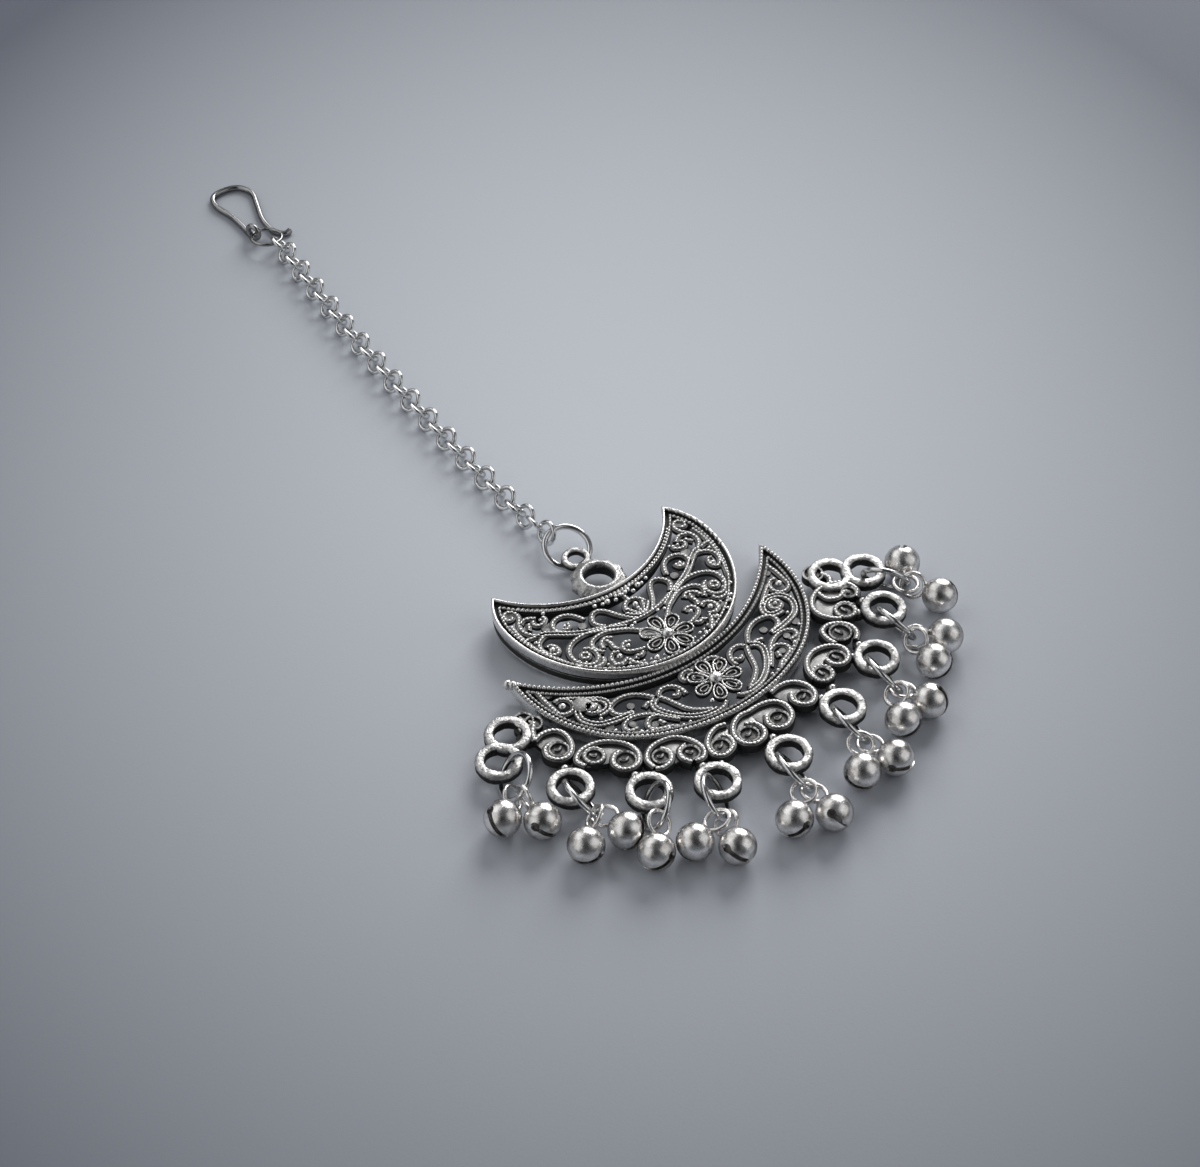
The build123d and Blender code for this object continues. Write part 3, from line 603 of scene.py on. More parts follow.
# %% The upper crescent's filigree
UPPER_LINES = {
    "stem": [(3.2, 9.2), (4.8, 10.1), (6.2, 10.9), (7.6, 11.5), (9, 12.2), (10.2, 13), (11.2, 13.8),
        (12.2, 14.5), (13, 14.8)],
    "stem_tip": [(13, 14.8), (13.8, 15.5), (14.3, 16.4), (14.3, 17.3), (13.9, 18.2), (13.4, 18.8),
        (13.15, 19.7), (13.4, 20.4), (14.1, 20.7), (14.75, 20.3), (14.8, 19.6), (14.3, 19.3), (13.8, 19.6)],
    "big_curl": [(2, 7.5), (3.2, 8.7), (4.7, 9.6), (6.1, 10.2), (7.5, 10.2), (8.5, 9.8), (9, 9), (8.8, 8.2),
        (8.2, 7.5)],
    "comma": [(5.9, 8.8), (6.5, 9.3), (7.2, 9.2), (7.8, 8.7), (8, 8)],
    "comma_tail": [(6.9, 9), (6.7, 8.2), (6.8, 7.4), (6.5, 6.7)],
    "second_curl": [(5.5, 10.6), (7, 11.2), (8.4, 11.5), (10, 11.4), (11.2, 10.9), (12, 10), (12.2, 8.9),
        (12, 7.9), (11.3, 7), (10.4, 6.6), (9.5, 7.1), (9.1, 8.1), (9.4, 9.1), (10.1, 9.5)],
    "side_vine": [(6.8, 13.6), (7.2, 14.6), (7.8, 15.4), (8.7, 15.9), (9.7, 15.9), (10.5, 15.5),
        (10.9, 14.8), (10.8, 13.9), (10.2, 13.4)],
    "side_comma": [(8.9, 14.5), (9, 13.9), (9.5, 13.6), (10, 13.9)],
    "branch": [(12.3, 14.4), (13.2, 14.2), (14, 13.7), (14.4, 12.9), (14.3, 11.9), (13.8, 11.1),
        (13.2, 10.8), (12.7, 11.3), (12.7, 12.1), (13.1, 12.6), (13.6, 12.5)],
    "teardrop": [(1.2, 9.6), (2.3, 10.9), (3, 12), (3.6, 13.1), (4.4, 13.8), (5.2, 13.8), (5.9, 13.2),
        (6.2, 12.4), (5.9, 11.6), (5.3, 11)],
    "tip_leaf": [(13.8, 17.9), (13.1, 18.3), (12.3, 18.1), (11.6, 17.6)],
    "tip_s": [(10.8, 17.4), (10.7, 16.8), (11.4, 16.3), (12.2, 16.4), (12.5, 17), (12.1, 17.4)],
    "tip_bar": [(12.9, 17.4), (13.2, 16.9), (13.6, 16.4)],
    "low_ring": [(6.7, 6.3), (7.4, 6.65), (8.2, 6.2), (8.45, 5.4), (8.2, 4.7), (7.4, 4.5), (6.6, 4.8)],
    "low_arc": [(4.4, 6.9), (5.1, 7.2), (5.8, 6.9), (6, 6.2), (5.6, 5.6), (5, 5.3), (4.2, 5), (3.6, 4.9)],
    "foot": [(6.6, 4.6), (6.4, 3.8), (5.9, 3.1), (5.2, 2.5)],
    "foot_arc": [(4.2, 4.6), (4.8, 4.2), (5.4, 4.4), (5.8, 4)],
    "rim_curl": [(9, 6.9), (9.3, 6.2), (10.1, 5.9), (10.9, 6.2)],
    "rim_line": [(15, 18.4), (15.2, 16.8), (15.15, 15), (14.95, 13.4), (14.4, 11.6), (13.7, 9.9), (13, 8.3)],
    "rim_tie": [(13.6, 14.9), (14.4, 15.1), (15.1, 15.1)],
    "cross": [(0, 9.5), (1.2, 9.6), (2.4, 9.8), (3.8, 10.2), (5, 10.7)],
    "fan_low": [(0.3, 9.8), (1.2, 10.5), (1.9, 11.3)],
    "fan_high": [(0.3, 10), (0.9, 11), (1.3, 11.9)],
}
UPPER_DISCS = [(7, 8.7, 0.55), (10.6, 8.4, 0.95), (6.6, 2.8, 0.6), (9, 5.1, 0.6), (14.1, 20, 0.5),
    (11.5, 15.4, 0.7), (7.6, 12.9, 0.6)]
UPPER_RINGS = [(10.6, 8.4, 0.5)]
UPPER_BALLS = [(9.5, 14.1, 0.3), (12.5, 7.4, 0.3), (11.1, 5.4, 0.3), (10.3, 4.8, 0.3), (9.3, 3.9, 0.28),
    (7.4, 5.6, 0.34), (5.1, 6.3, 0.34), (3.5, 2.5, 0.34), (4.3, 2.1, 0.28), (7.2, 3.4, 0.3),
    (13.2, 11.7, 0.34), (11.5, 17, 0.26), (10.3, 17.6, 0.24), (14.3, 14.1, 0.26), (0.4, 14.3, 0.34),
    (1.1, 14.4, 0.28), (1.3, 13.8, 0.34), (2.6, 14.3, 0.38), (3.3, 14.4, 0.30), (4.2, 14.6, 0.28),
    (1.9, 9, 0.26), (2.6, 8.9, 0.24)]
print("upper lines:", len(UPPER_LINES), "balls:", len(UPPER_BALLS))

# %% The lower crescent's filigree
LOWER_LINES = {
    "leaf": [(7.7, -2), (8.4, -1), (9.5, 0), (10.8, 0.5), (12, 0.5), (13.1, 0.1), (13.4, -0.6),
        (13.2, -1.4), (12.5, -2), (11.3, -2.4)],
    "spiral": [(11.3, -2.4), (13, -2.3), (14.8, -1.9), (16, -1.4), (16.8, -0.5), (17.2, 0.6), (16.9, 1.8),
        (16, 2.5), (14.7, 2.7), (13.6, 2.1), (13, 1.2), (13.2, 0.3), (14, -0.1), (15.1, -0.1)],
    "stalk": [(3, -8), (4.5, -7.1), (5.6, -6), (6.2, -4.6), (6.7, -3.2), (7.3, -2.2)],
    "long_leaf": [(2.6, -8.5), (4.5, -8.2), (6, -7.4), (7.2, -6.3), (8.1, -5.1), (8.7, -3.8), (8.5, -2.8),
        (7.7, -2.3)],
    "upper_sprig": [(7.4, -6.9), (8.6, -5.5), (9.6, -4.2), (10.8, -3.4), (12.2, -3), (13.4, -3.3),
        (13.9, -4), (13.5, -4.7), (12.4, -4.8)],
    "lower_sprig": [(9.2, -4.7), (10.2, -4.4), (11.1, -4.9), (11.4, -5.7), (10.9, -6.4), (10, -6.8),
        (9, -7.2), (8.3, -7.8)],
    "sprig_bar": [(9.7, -5.4), (9.4, -6.3)],
    "hook": [(4.1, -4), (4.15, -2.8), (4.7, -1.9), (5.6, -1.45), (6.5, -1.55), (7.1, -2.1)],
    "crown": [(1, -1.6), (1.3, -1), (2.1, -0.9), (2.8, -1.3), (2.9, -2), (2.3, -2.3)],
    "foot": [(0.9, -7.9), (1.6, -8.5), (2.6, -8.7)],
    "hook_comma": [(4.5, -3), (5.1, -3.5), (5.7, -3.2)],
    "side_bar": [(8.2, -2.5), (9, -2.3), (9.8, -2.6)],
    "tip_ring": [(18.85, 7.6), (19, 6.2), (19, 4.8), (18.9, 3.2), (18.2, 2.5), (17.2, 2.5), (16.5, 3.3),
        (16.6, 4.3), (17.3, 4.95), (18.2, 4.9)],
    "tip_tie": [(13.6, 2.1), (15, 3.4), (16.6, 4.6)],
}
LOWER_RINGS = [(15.0, 1.25, 0.8)]
LOWER_DISCS = [(10.9, -1.3, 0.55), (4.4, -3.1, 0.5), (15, 1.25, 0.85), (10.4, -5.6, 0.5), (15.2, -2.6, 0.6),
    (12.6, -3.9, 0.5), (0.3, -0.8, 0.55), (18, 6.4, 0.5)]
LOWER_BALLS = [(17.8, 3.8, 0.4), (1.7, -2.4, 0.3), (12.5, -5.7, 0.28), (13.1, -5.5, 0.28),
    (15.2, -0.9, 0.3), (2.2, -6.9, 0.3), (15, 1.25, 0.3), (15, -3.4, 0.26)]
LOWER_GRAINS = ((9.5, -7.3), (8.6, -7.6), (7.7, -7.9), (6.7, -8.0), (12.0, -6.0), (11.4, -6.3))
print("lower lines:", len(LOWER_LINES), "balls:", len(LOWER_BALLS))

# %% [markdown]
# ## Laying the filigree
# Three of the longest lines are double: two milled wires side by side on a wider bed. The balls
# are listed one by one, and their places and sizes vary a little.

# %% Filigree pieces
DOUBLE = ("stem", "long_leaf", "spiral")
APART = (-0.27, 0.27)  # the two wires of a double line


def filigree(lines, rings, discs, balls, low, high):
    made = Builder()
    for name, points in lines.items():
        line = smooth(points)
        base, wide, offsets = (1.1, 0.30, APART) if name in DOUBLE else (0.9, 0.36, (0.0,))
        for half in (line, mirrored(line)):
            strand(made, half, crescent, low, high, base, wide, offsets)
    for side in (1, -1):
        for u, y, radius in rings:
            strand(made, circle(side * u, y, radius), crescent, low, high, closed=True)
        for u, y, radius in discs:
            plate(made, circle(side * u, y, radius), crescent, low, high - 0.3, 0.30)
        for u, y, radius in balls:
            ball(made, side * u + uniform(-0.15, 0.15), y + uniform(-0.15, 0.15), high - 0.15,
                 radius * uniform(0.8, 1.3), crescent, 0.7)
    return made


upper_work = filigree(UPPER_LINES, UPPER_RINGS, UPPER_DISCS, UPPER_BALLS, 2.85, 3.55)
lower_work = filigree(LOWER_LINES, LOWER_RINGS, LOWER_DISCS, LOWER_BALLS, 2.05, 2.75)
for side in (1, -1):
    row = [(u, y) for u, y in UPPER.outer(1.85) if 1.5 < side * u < 12.0 and y < 9.0]
    beads(upper_work, row, crescent, 0.22, 3.3, 0.95)
    for u, y in LOWER_GRAINS:
        ball(lower_work, side * u, y, 2.5, 0.26, crescent, 0.8, 6, 12)

# %% [markdown]
# ## Flowers and bud
# A seven-petalled flower with a round boss sits in the middle of each crescent. Each petal is a
# plate with a milled edge and a smaller line inside it. The bud over the upper flower stands on a
# stalk, and two ragged plates on the lower crescent are metal that ran in the mould.

# %% Flowers
PETALS = 7
PETAL_STEPS = 32
BLOTS = ((-16.0, -1.0, 1.3), (-15.3, -1.9, 0.8))  # x, y and radius of the ragged plates


def petal_line(cu, cy, turn, near, far, width):
    """A round-ended petal that leaves a flower's centre at an angle."""
    line = []
    for t in turns(PETAL_STEPS):
        along = (near + far) / 2 - cos(t) * (far - near) / 2
        across = sin(t) * width / 2 * (0.86 - 0.30 * cos(t))
        line.append((cu + cos(turn) * along - sin(turn) * across,
                     cy + sin(turn) * along + cos(turn) * across))
    return line


def flower(builder, cu, cy, boss, reach, width, low, high, filled=()):
    """Petals with double edges, and a ball boss. A filled petal is cast solid."""
    for k in range(PETALS):
        turn = radians(90 + 360 * k / PETALS)
        top, shade = (high - 0.2, 0.42) if k in filled else (high - 0.32, 0.12)
        whole = petal_line(cu, cy, turn, boss * 0.5, reach - 0.1, width * 0.98)
        edge = petal_line(cu, cy, turn, boss * 1.1, reach - 0.12, width * 0.94)
        inside = petal_line(cu, cy, turn, boss * 1.1 + 0.6, reach - 0.75, width * 0.40)
        plate(builder, whole, crescent, low, top, shade)
        milled(builder, edge, crescent, 0.26, high - 0.36, high, closed=True, depth=0.15)
        milled(builder, inside, crescent, 0.20, high - 0.36, high - 0.06, closed=True, depth=0.15)
    plate(builder, circle(cu, cy, boss * 1.3), crescent, low, high - 0.3, 0.1)
    ball(builder, cu, cy, high + 0.05, boss * 1.08, crescent, 0.55, 10, 24)


for x, y, radius in BLOTS:
    ragged = [(x + (px - x) * uniform(0.86, 1.06), y + (py - y) * uniform(0.86, 1.06))
              for px, py in circle(x, y, radius)]
    plate(lower_work, ragged, layout, 2.05, 2.74, 0.36)
flower(upper_work, 0.0, 4.9, boss=0.70, reach=3.7, width=2.05, low=2.95, high=3.75, filled=(1,))
flower(lower_work, 0.3, -4.4, boss=0.84, reach=3.68, width=1.95, low=2.15, high=3.0)

# %% Bud and finished filigree
bud = [(1.45 * cos(k * pi / 16), 11.5 + 1.4 * sin(k * pi / 16)) for k in range(17)]
strand(upper_work, bud, crescent, 2.85, 3.6)
strand(upper_work, [(0, 9.7), (0, 11.7)], crescent, 2.85, 3.6, wide=0.5)
ball(upper_work, 0.1, 11.7, 3.45, 0.42, crescent, 0.7)
strand(upper_work, [(0, 12.9), (0, 14.8)], crescent, 2.85, 3.5)
upper_work.make("upper_filigree", CAST, "casting")
lower_work.make("lower_filigree", CAST, "casting")

# %% [markdown]
# ## The scroll border
# The scrolls under the lower crescent were shaped by hand, no two quite alike, so each has its own
# points. Their eyes are rings with a comma of wire inside, and webs with a ball on top join them.

# %% The border's lines, rings, eyes and webs
BORDER_LINES = {
    "centre_left": [(0.3, -14.1), (-1.3, -14), (-3, -15), (-3.8, -16.5), (-3.5, -18), (-2.3, -18.8),
        (-0.8, -18.5), (-0.1, -17.4), (-0.4, -16.1), (-1.5, -15.5)],
    "centre_right": [(0, -14.1), (2, -14), (3.7, -14.5), (4.6, -15.6), (4.6, -16.9), (4, -18), (2.7, -18.7),
        (1.3, -18.3), (0.9, -17.1), (1.6, -15.9)],
    "left_2": [(-3.4, -14.1), (-4.7, -13.8), (-6.3, -14.4), (-7.5, -15.7), (-7.7, -17.1), (-6.9, -18),
        (-5.6, -17.9), (-4.6, -17.2), (-4.4, -16), (-5.1, -15.2)],
    "left_3": [(-14.9, -14.6), (-14.9, -13), (-13.6, -11.8), (-11.8, -11.5), (-10.1, -11.9), (-8.9, -13),
        (-8.2, -14.5), (-8.2, -15.9), (-9, -16.8), (-10.2, -16.7)],
    "left_3_hook": [(-14.9, -14.8), (-14, -15.2), (-12.6, -14.9), (-11.8, -13.7), (-12.4, -12.5)],
    "left_3_curl": [(-10.6, -16.6), (-11.2, -15.4), (-10.8, -14.2), (-9.6, -13.8)],
    "left_4": [(-21.6, -9.4), (-22, -8.1), (-20.9, -7.1), (-19.3, -6.9), (-17.6, -7.3), (-16, -8.5),
        (-15.1, -10), (-15.1, -11.5), (-15.9, -12.7), (-17.1, -13), (-18.3, -12.4), (-18.6, -11.1),
        (-17.8, -10.1), (-16.8, -9.9)],
    "left_5": [(-24.2, -2.3), (-22.9, -1.9), (-21.4, -2.2), (-20.6, -3.2), (-20.6, -4.6), (-21.2, -6),
        (-22.3, -6.8), (-23.6, -6.6), (-24.4, -5.4), (-24, -4.2), (-22.9, -3.8)],
    "right_2": [(4.4, -13.2), (5.8, -12.9), (7.3, -13.1), (8.6, -14.1), (9.1, -15.5), (8.7, -16.9),
        (7.5, -17.6), (6.3, -17), (5.9, -15.8), (6.5, -14.8)],
    "right_3": [(10.5, -14.6), (10.7, -13.1), (11.7, -11.6), (13.3, -10.8), (15.2, -11), (16.6, -12),
        (16.9, -13.3), (16.2, -14.4), (15, -14.7), (14, -14), (13.8, -12.8)],
    "right_4": [(16.6, -11.4), (16.3, -10), (16.6, -8.7), (17.9, -8.3), (19.3, -8.9), (20.2, -10.1),
        (20.1, -11.5), (19.2, -12.4)],
    "right_5": [(20.1, -8.4), (19.1, -7.6), (18.3, -6.3), (18.3, -4.8), (19.2, -3.5), (20.6, -2.7),
        (22.3, -2.5), (23.9, -3), (25, -4.2), (25.1, -5.6), (24.2, -6.5)],
    "right_5_comma": [(20.6, -3), (20.9, -4.6), (22.2, -5.2), (23.6, -4.8)],
    "left_tie": [(-24.2, -2.3), (-23.6, -1), (-22.6, 0.2)],
    "right_tie": [(23, -2.6), (23.6, -1.6), (23.2, -0.4)],
}
BORDER_RINGS = [(-19.7, -8.6, 1.25), (11.9, -14.5, 1.35), (21.5, -7.5, 1.35)]
BORDER_EYES = [(-2.1, -17.1, 0.85), (2.6, -17.2, 0.85), (-6.1, -16.6, 0.8), (-13.1, -13.6, 0.7),
    (-9.8, -15.2, 0.75), (-19.7, -8.6, 0.7), (-17, -11.4, 0.95), (-22.6, -5.2, 0.8), (7.4, -16.2, 0.7),
    (15.1, -13.4, 0.75), (11.9, -14.5, 0.7), (18.4, -10.2, 1), (21.5, -7.5, 0.75), (24, -5.2, 0.55),
    (-23.3, 1.4, 0.8), (-22.6, 0.3, 0.7), (22.4, 0.2, 0.9)]
WEBS = [(-24.6, -1, 1.2), (-23.6, -7.8, 0.8), (-22.6, -9.1, 0.8), (-17.3, -13.8, 0.8), (-15.3, -15, 0.65),
    (-9.7, -17.5, 0.8), (-7.6, -18.6, 0.75), (0.2, -19, 0.9), (9.3, -17.4, 0.85), (11.6, -16.8, 0.8),
    (19.2, -13, 0.8), (17.2, -14.1, 0.65), (24.7, -7.2, 0.85), (22.8, -8.5, 0.85), (25.8, -4.2, 1),
    (-24, 0.6, 1.1), (22.9, -3.2, 0.9)]
print("border lines:", len(BORDER_LINES), "eyes:", len(BORDER_EYES), "webs:", len(WEBS))

# %% Border
FOOT = 1.3  # the border's underside, mm above the table
FILLED = 9  # a line with more points than this is a scroll that is filled
FILL_POINTS = 8  # by a plate round this many of them

border = Builder()
for points in BORDER_LINES.values():
    if len(points) > FILLED:
        plate(border, smooth(points[:FILL_POINTS], 5, closed=True), layout, FOOT, 2.1, 0.46)
    strand(border, smooth(points), layout, FOOT, 2.75, base=0.9, wide=0.42, depth=0.3)
for x, y, radius in BORDER_RINGS:
    strand(border, circle(x, y, radius), layout, FOOT, 2.7, base=0.6, wide=0.34, closed=True)
for x, y, radius in BORDER_EYES:
    plate(border, circle(x, y, radius + 0.55), layout, FOOT, 2.2, 0.28)
    milled(border, circle(x, y, radius + 0.40), layout, 0.36, 2.1, 2.68, closed=True, depth=0.3)
    turn = radians(uniform(-70, 20))
    comma = [(x + radius * 0.6 * t * cos(turn), y + radius * 0.6 * t * sin(turn) + 0.25 * t * t)
             for t in (-1, 0, 1)]
    milled(border, smooth(comma, 4), layout, 0.42, 2.0, 2.66, depth=0.1)
for x, y, radius in WEBS:
    plate(border, circle(x, y, radius), layout, FOOT, 2.0, 0.1)
    ball(border, x, y, 2.0, radius * 0.62, layout, 0.8)
border.make("scroll_border", CAST, "casting")

# %% [markdown]
# ## Cast eyes
# Each drop ring hangs in a thick round eye, the roughest part of the casting, with a step where the
# two halves of the mould met. A rounded section goes round a circle, dented by random numbers.

# %% Eyes
DROP_EYES = [(-29.65, -2.37), (-24.95, -10.94), (-17.64, -17.12), (-9.88, -20.78), (-0.01, -22.40),
    (10.40, -20.29), (19.35, -16.28), (25.84, -10.06), (28.19, -3.16)]
END_EYES = [(-26.23, 0.62), (24.07, -1.26)]
EYE_RADIUS = 2.38
EYE_HALF = (0.76, 0.88)  # half the wall's width and height
EYE_MID = 2.0  # height of its middle
SECTION_STEPS = 24


def eye(builder, x, y, radius, half, mid, dent=0.11, around=72, place=layout, tone=1.0):
    """A thick round eye with a step round its outside."""
    section = []
    for angle in turns(SECTION_STEPS):
        c, s = cos(angle), sin(angle)
        across = copysign(abs(c) ** 0.62, c) * half[0]
        up = copysign(abs(s) ** 0.62, s) * half[1]
        shine = max(0.0, min(1.0, 0.40 + 0.40 * s)) * (1.0 if c > -0.75 else 0.1)
        if c > 0.5 and -0.5 < s < 0.05:
            across -= 0.12
            shine = 0.05
        section.append((across, up, shine))
    rows, marks = [], []
    waves = [(n, uniform(0, 6.28), uniform(0.3, 1.0)) for n in (2, 3, 5, 8)]
    for turn in turns(around):
        lump = sum(size * sin(n * turn + start) for n, start, size in waves) / 4
        row = []
        for across, up, shine in section:
            push = 1 - dent * (0.45 * random() + 1.0 + lump)
            reach = radius + across * push
            row.append(place(*polar((x, y), reach, turn), mid + up * push))
        rows.append(row)
        marks.append([shine * tone for across, up, shine in section])
    builder.grid(rows, marks, closed=True)


eyes = Builder()
for x, y in DROP_EYES + END_EYES:
    eye(eyes, x, y, EYE_RADIUS, EYE_HALF, EYE_MID)
eyes.make("cast_eyes", EYE_METAL, "casting")

# %% [markdown]
# ## Top eye and small loop
# The pendant hangs from a larger eye over the upper crescent. A rough flange slopes down from the
# bright lip of its hole to a lobed edge. A small loop on its far side takes the chain's first ring.

# %% Top eye
TOP_EYE = (0.0, 19.3)
LOBES = 11
LOBE_DEPTH = 0.26
TOP_EYE_STEPS = 120
SMALL_LOOP = (0.1, 24.35)

# rows of reach from the hole's middle, height and shine
FLANGE = [(2.12, 1.0, 0.0), (3.40, 1.0, 0.2), (3.72, 1.3, 0.4), (3.82, 2.0, 0.65), (3.70, 2.40, 0.85),
    (3.35, 2.62, 0.85), (2.95, 2.82, 0.85), (2.60, 3.06, 0.95), (2.38, 3.12, 1.0), (2.16, 3.05, 1.0),
    (2.02, 2.8, 0.5), (2.00, 2.0, 0.0)]

top_eye = Builder()
rows, marks = [], []
for turn in turns(TOP_EYE_STEPS):
    valley = 1 - (0.5 + 0.5 * cos(LOBES * turn))
    row, mark = [], []
    for reach, height, shine in FLANGE:
        share = max(0.0, min(1.0, (reach - 2.6) / 0.9))
        grown = reach - LOBE_DEPTH * share * valley + uniform(-0.05, 0.05) * share
        row.append(crescent(*polar(TOP_EYE, grown, turn), height + uniform(-0.04, 0.04) * share))
        mark.append(shine - 0.15 * share * valley)
    rows.append(row)
    marks.append(mark)
top_eye.grid(rows, marks, closed=True)
eye(top_eye, *SMALL_LOOP, 1.55, (0.54, 0.58), 1.8, dent=0.14, around=48, place=crescent, tone=0.8)
top_eye.make("top_eye", EYE_METAL, "casting")

# %% [markdown]
# ## Round wire
# Rings, links and the hook are a circle of points carried along a line in space. A ring is given by
# its centre and by its normal, which says how it leans.


# %% Tubes and rings
AROUND = 14  # points round the wire's section


def tube(builder, spine, radius, closed=False, flare=None):
    """Round wire along points of the frame, with its frame of reference carried along."""
    rows = []
    across = None
    for i, point in enumerate(spine):
        before, after = beside(spine, i, closed)
        along = (after - before).normalized()
        if across is None:
            across = along.orthogonal().normalized()
        across = (across - along * across.dot(along)).normalized()
        up = along.cross(across)
        size = radius * MM * (flare(i / (len(spine) - 1)) if flare else 1.0)
        rows.append([point + (across * cos(t) + up * sin(t)) * size for t in turns(AROUND)])
    builder.grid(rows, [1.0] * AROUND, closed=closed, caps=True)


def heading(azimuth, elevation):
    """A unit direction from its azimuth and elevation in degrees."""
    a, e = radians(azimuth), radians(elevation)
    return Vector((cos(a) * cos(e), sin(a) * cos(e), sin(e)))


def wire_ring(builder, centre, normal, radius, wire, count=40):
    """A closed ring of round wire, its centre in the layout."""
    first = normal.orthogonal().normalized()
    second = normal.cross(first)
    middle = layout(*centre)
    spine = [middle + (first * cos(t) + second * sin(t)) * radius * MM for t in turns(count)]
    tube(builder, spine, wire, closed=True)


def loose_ring(place, radius, wire):
    """A builder with one ring. place has its centre, then its normal's two angles."""
    made = Builder()
    wire_ring(made, place[:3], heading(*place[3:]), radius, wire, 56)
    return made


# %% [markdown]
# ## Rings, chain and hook
# They hang in each other just as the solids do. Each link leans to the other side than the one
# before it, and the first ones climb down from the top ring to the table.

# %% Rings
DROP_RING, DROP_WIRE = 2.96, 0.38  # radius of the ring and of its wire
TOP_RING, TOP_WIRE = 3.1, 0.40
END_RING, END_WIRE = 2.29, 0.25
TOP_PLACE = (-0.24, 24.08, 1.64, -94, 68)
END_PLACE = (2.78, 105.74, 1.51, 46, 83)
DROP_PLACES = {"01": (-29.71, -5.99, 2.80, 158, 36), "02": (-25.39, -13.82, 2.94, -5, 32),
    "03": (-18.79, -20.00, 2.97, 151, 30), "04": (-12.12, -23.17, 2.92, -31, 32),
    "05": (-1.74, -25.63, 2.83, -7, 35), "06": (8.79, -23.62, 2.82, -5, 35),
    "07": (17.71, -19.57, 2.86, -5, 34), "08": (24.80, -13.55, 2.93, 6, 32),
    "09": (29.03, -6.63, 3.08, 38, 26)}

for name, place in DROP_PLACES.items():
    drop = loose_ring(place, DROP_RING, DROP_WIRE)
    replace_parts(drop.make("drop_ring_" + name, RING_METAL, "wire"), "jump_ring_" + name)
ring = loose_ring(TOP_PLACE, TOP_RING, TOP_WIRE)
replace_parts(ring.make("top_ring", RING_METAL, "wire"), "top_jump_ring")
ring = loose_ring(END_PLACE, END_RING, END_WIRE)
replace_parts(ring.make("small_ring", HOOK_METAL, "wire"), "hook_ring")

# %% Chain
LINK, LINK_WIRE = 1.48, 0.30
CHAIN_CURVE = (-0.23, -0.0635, 0.00098)  # x by powers of y
CHAIN_START, CHAIN_LINKS, LINK_PITCH = 27.36, 32, 2.45
FIRST_LINKS = ((2.28, 25), (1.94, 33), (1.60, 31))  # height and lean of the first links
OTHER_LINKS = (1.35, 45)  # and of all the others


def chain_line(y):
    """The chain's x in the layout at a y, and its slope there."""
    a, b, c = CHAIN_CURVE
    return a + b * y + c * y * y, b + 2 * c * y


links = Builder()
y = CHAIN_START
for k in range(CHAIN_LINKS):
    height, lean = FIRST_LINKS[k] if k < len(FIRST_LINKS) else OTHER_LINKS
    x, slope = chain_line(y)
    azimuth = 90 - degrees(atan(slope))
    normal = heading(azimuth + (90 if k % 2 == 0 else -90), lean)
    wire_ring(links, (x, y, height), normal, LINK, LINK_WIRE)
    y += LINK_PITCH / hypot(1, slope)
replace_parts(links.make("chain_links", CHAIN_METAL, "wire"), "chain")

# %% Hook
HOOK_WIRE = 0.42
EYELET, EYELET_PLACE = 1.0, (1.91, 108.04, 1.42)
HOOK_PATH = [(1.8, 108.3), (1.75, 109.4), (1.85, 111.5), (1.75, 114.8), (1.2, 118.1), (2, 120.3),
    (4.1, 120.9), (6.4, 120.2), (7.35, 117.8), (6.4, 114.6), (5.3, 111.5), (4.95, 108.8), (5.3, 107),
    (6.2, 106), (7.1, 106.2)]

bow = Builder()
spine = [layout(x, y, 0.47) for x, y in even(smooth(HOOK_PATH), 0.25)]
tube(bow, spine, HOOK_WIRE, flare=lambda t: 1.0 + 0.12 * max(0.0, (t - 0.96) / 0.04))
wire_ring(bow, EYELET_PLACE, heading(18, 0), EYELET, HOOK_WIRE)
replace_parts(bow.make("hook_wire", HOOK_METAL, "wire"), "hook")

# %% [markdown]
# ## Metal on the bells
# The bells keep their own solids, hollow shells with a slot, and get the spun finish. The wire loop
# on top of each is drawn over smoothly.

# %% Bells
BELL_MID = 2.35  # height of a bell's centre
LOOP_REACH = 3.85  # from there to the middle of its loop
BELL_LOOP, BELL_WIRE = 1.60, 0.275
# bell by bell: its centre, then azimuth, elevation and roll of its loop
LOOP_PLACES = [(-34.51, -10.17, 37, -9, 145), (-30.87, -13.35, 87, 10, 176), (-28.90, -19.52, 38, 15, 35),
    (-23.60, -20.56, 98, -8, 86), (-22.73, -25.30, 48, 13, 129), (-18.04, -26.80, 8, 14, 72),
    (-14.38, -30.37, 73, -1, 49), (-6.21, -31.08, 33, 16, 80), (-1.68, -33.16, 90, 1, 104),
    (5.33, -30.10, 54, 13, 94), (10.09, -30.80, 104, -4, 96), (15.00, -26.54, 63, 11, 57),
    (19.80, -26.07, 111, -4, 103), (24.78, -21.20, 87, 7, 42), (28.88, -18.67, 138, -8, 16),
    (33.22, -12.69, 118, 4, 40), (33.30, -5.10, -124, -1, 86)]

loops = Builder()
for x, y, azimuth, elevation, roll in LOOP_PLACES:
    axis, side = heading(azimuth, elevation), heading(azimuth + 90, 0)
    side.rotate(Matrix.Rotation(radians(roll), 3, axis))
    centre = Vector((x, y, BELL_MID)) + axis * LOOP_REACH
    wire_ring(loops, centre, side, BELL_LOOP, BELL_WIRE)
loops.make("bell_loops", RING_METAL, "bells")
bells = [node for name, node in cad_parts.items() if name.startswith("bell_")]
for bell in bells:
    bell.data.materials.clear()
    bell.data.materials.append(BELL_METAL)
print("bells:", len(bells))
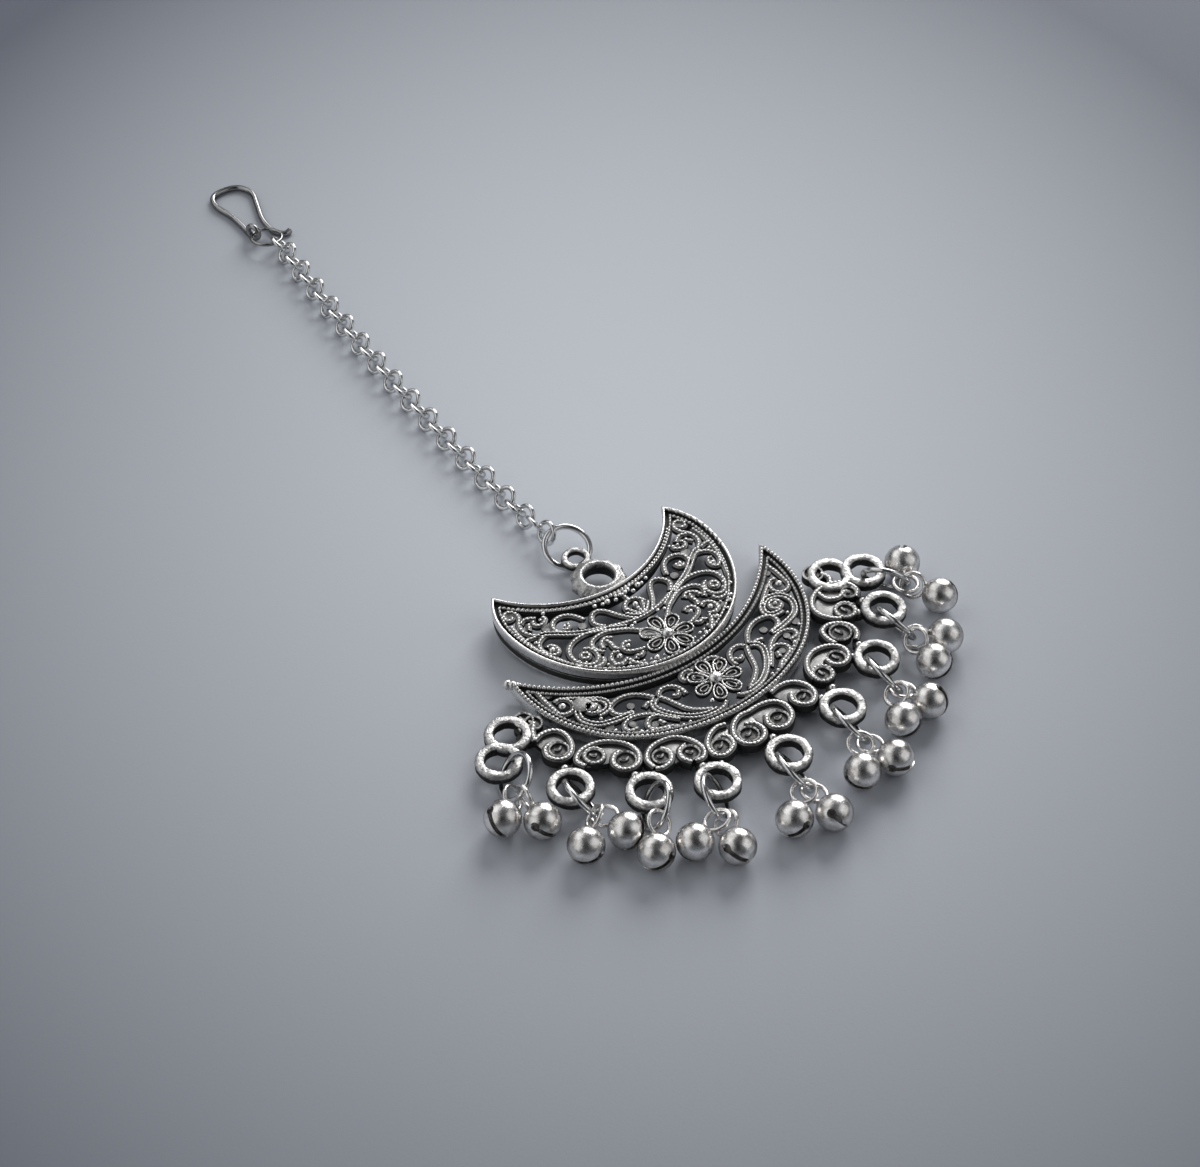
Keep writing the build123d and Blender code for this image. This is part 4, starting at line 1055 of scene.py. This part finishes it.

# %% [markdown]
# ## The table
# Silver shows what is round it, so the table counts as much as the lights. It is pale paper with a
# faint fibre. Its darker edges are painted shade: light falling off towards the edges is painted
# into the paper's colour, so it stays in place from any side.

# %% Table
PAPER_NEAR = ((0.664, 0.697, 0.759, 1.0), (0.694, 0.727, 0.789, 1.0))
# painted shade: the paper's colour darkens to this grey towards the edge of an oval, in place of light
# falling off
PAPER_PAINTED_SHADE = (0.12, 0.138, 0.177, 1.0)
SHADE_OVAL = {"Location": (0.0127, -0.011, 0.0), "Rotation": (0, 0, radians(-27.4)),
        "Scale": (1.0, 1.335, 1.0)}
SHADE_OVAL_REACH, SHADE_FALL_OFF = 0.123, 1.61  # metres to its darkest line, and how late it darkens

low, high = CAD_BOX
middle = (low + high) / 2


def table_paper_with_painted_shade():
    material, tree, shader, place = bare_material("table_paper_with_painted_shade", metallic=0.0)
    turned = Value.node(tree, "ShaderNodeMapping", {"vector_type": "TEXTURE"}, Vector=place, **SHADE_OVAL)
    reach = Value.node(tree, "ShaderNodeVectorMath", {"operation": "LENGTH"}, "Value", Vector=turned)
    # painted shade: the paper darkens towards the oval's edge
    far = (reach * (1 / SHADE_OVAL_REACH)).clamped() ** SHADE_FALL_OFF
    fibre = noise(place, 2400.0, 3.0)
    near = mix_colour(noise(place, 9.0, 2.0), *PAPER_NEAR)
    colour = mix_colour(far, near, PAPER_PAINTED_SHADE)
    dress(tree, shader, colour, fibre * 0.1 + 0.6, fibre, strength=0.15, depth=0.1)
    return material


bpy.ops.mesh.primitive_plane_add(size=3.0, location=(middle.x, middle.y, low.z))
table = bpy.context.object
table.name = "table"
table.data.materials.append(table_paper_with_painted_shade())
print("table:", [round(c, 2) for c in table.dimensions])

# %% [markdown]
# ## The lights
# The key light is large and low, beyond the ornament on the right, and throws long soft shadows.
# Dimmer ones on the other sides put a second soft highlight on each bell, and a black card behind
# the camera gives the bells their dark middles.


# %% Lights and card
def facing(azimuth, elevation, distance):
    """The place and turn of something that faces the part's middle."""
    away = heading(azimuth, elevation)
    return middle + away * distance, (-away).to_track_quat("-Z", "Y").to_euler()


def soft_light(name, azimuth, elevation, distance, size, brightness):
    """A square area light, from its brightness as seen in a mirror."""
    lamp = bpy.data.lights.new(name, "AREA")
    lamp.size = size
    lamp.energy = brightness * pi * size * size
    holder = bpy.data.objects.new(name, lamp)
    holder.location, holder.rotation_euler = facing(azimuth, elevation, distance)
    SCENE.collection.objects.link(holder)
    print(name, round(lamp.energy, 2), "W")


soft_light("window", 35, 28, distance=0.9, size=0.55, brightness=6.4)
soft_light("far_wall", 105, 46, distance=1.1, size=0.95, brightness=0.85)
soft_light("left_card", 172, 32, distance=0.9, size=0.95, brightness=0.60)
soft_light("right_card", -48, 34, distance=0.9, size=0.85, brightness=0.60)

black, tree, shader, place = bare_material("black_card", metallic=0.0)
plug(tree, shader.inputs["Base Color"], grey(0.01))
place, turn = facing(-129, 45, distance=0.48)
bpy.ops.mesh.primitive_plane_add(size=0.38, location=place, rotation=turn)
card = bpy.context.object
card.name = "black_card"
card.data.materials.append(black)

world = bpy.data.worlds.new("studio")
SCENE.world = world
world.use_nodes = True
sky = world.node_tree.nodes["Background"]
sky.inputs["Color"].default_value = (0.62, 0.65, 0.70, 1.0)
sky.inputs["Strength"].default_value = 0.13

# %% [markdown]
# ## Camera
# A long lens from the near left, looking down at the table at about 45 degrees.

# %% Camera
CAMERA = (-152.5, -190.57, 254.8)  # in the layout
LOOK = Vector((0.4212, 0.5733, -0.7028))
RIGHT = Vector((0.8059, -0.5921, 0.0))

lens = bpy.data.cameras.new("camera")
lens.lens = 82.22
lens.sensor_width = 36.0
lens.clip_start = 0.01
camera = bpy.data.objects.new("camera", lens)
turn = Matrix((RIGHT, RIGHT.cross(LOOK), -LOOK)).transposed().to_4x4()
camera.matrix_world = Matrix.Translation(layout(*CAMERA)) @ turn
SCENE.collection.objects.link(camera)
SCENE.camera = camera
SCENE.view_settings.view_transform = "Standard"
print("camera looks down at", round(degrees(asin(-LOOK.z)), 1), "degrees")
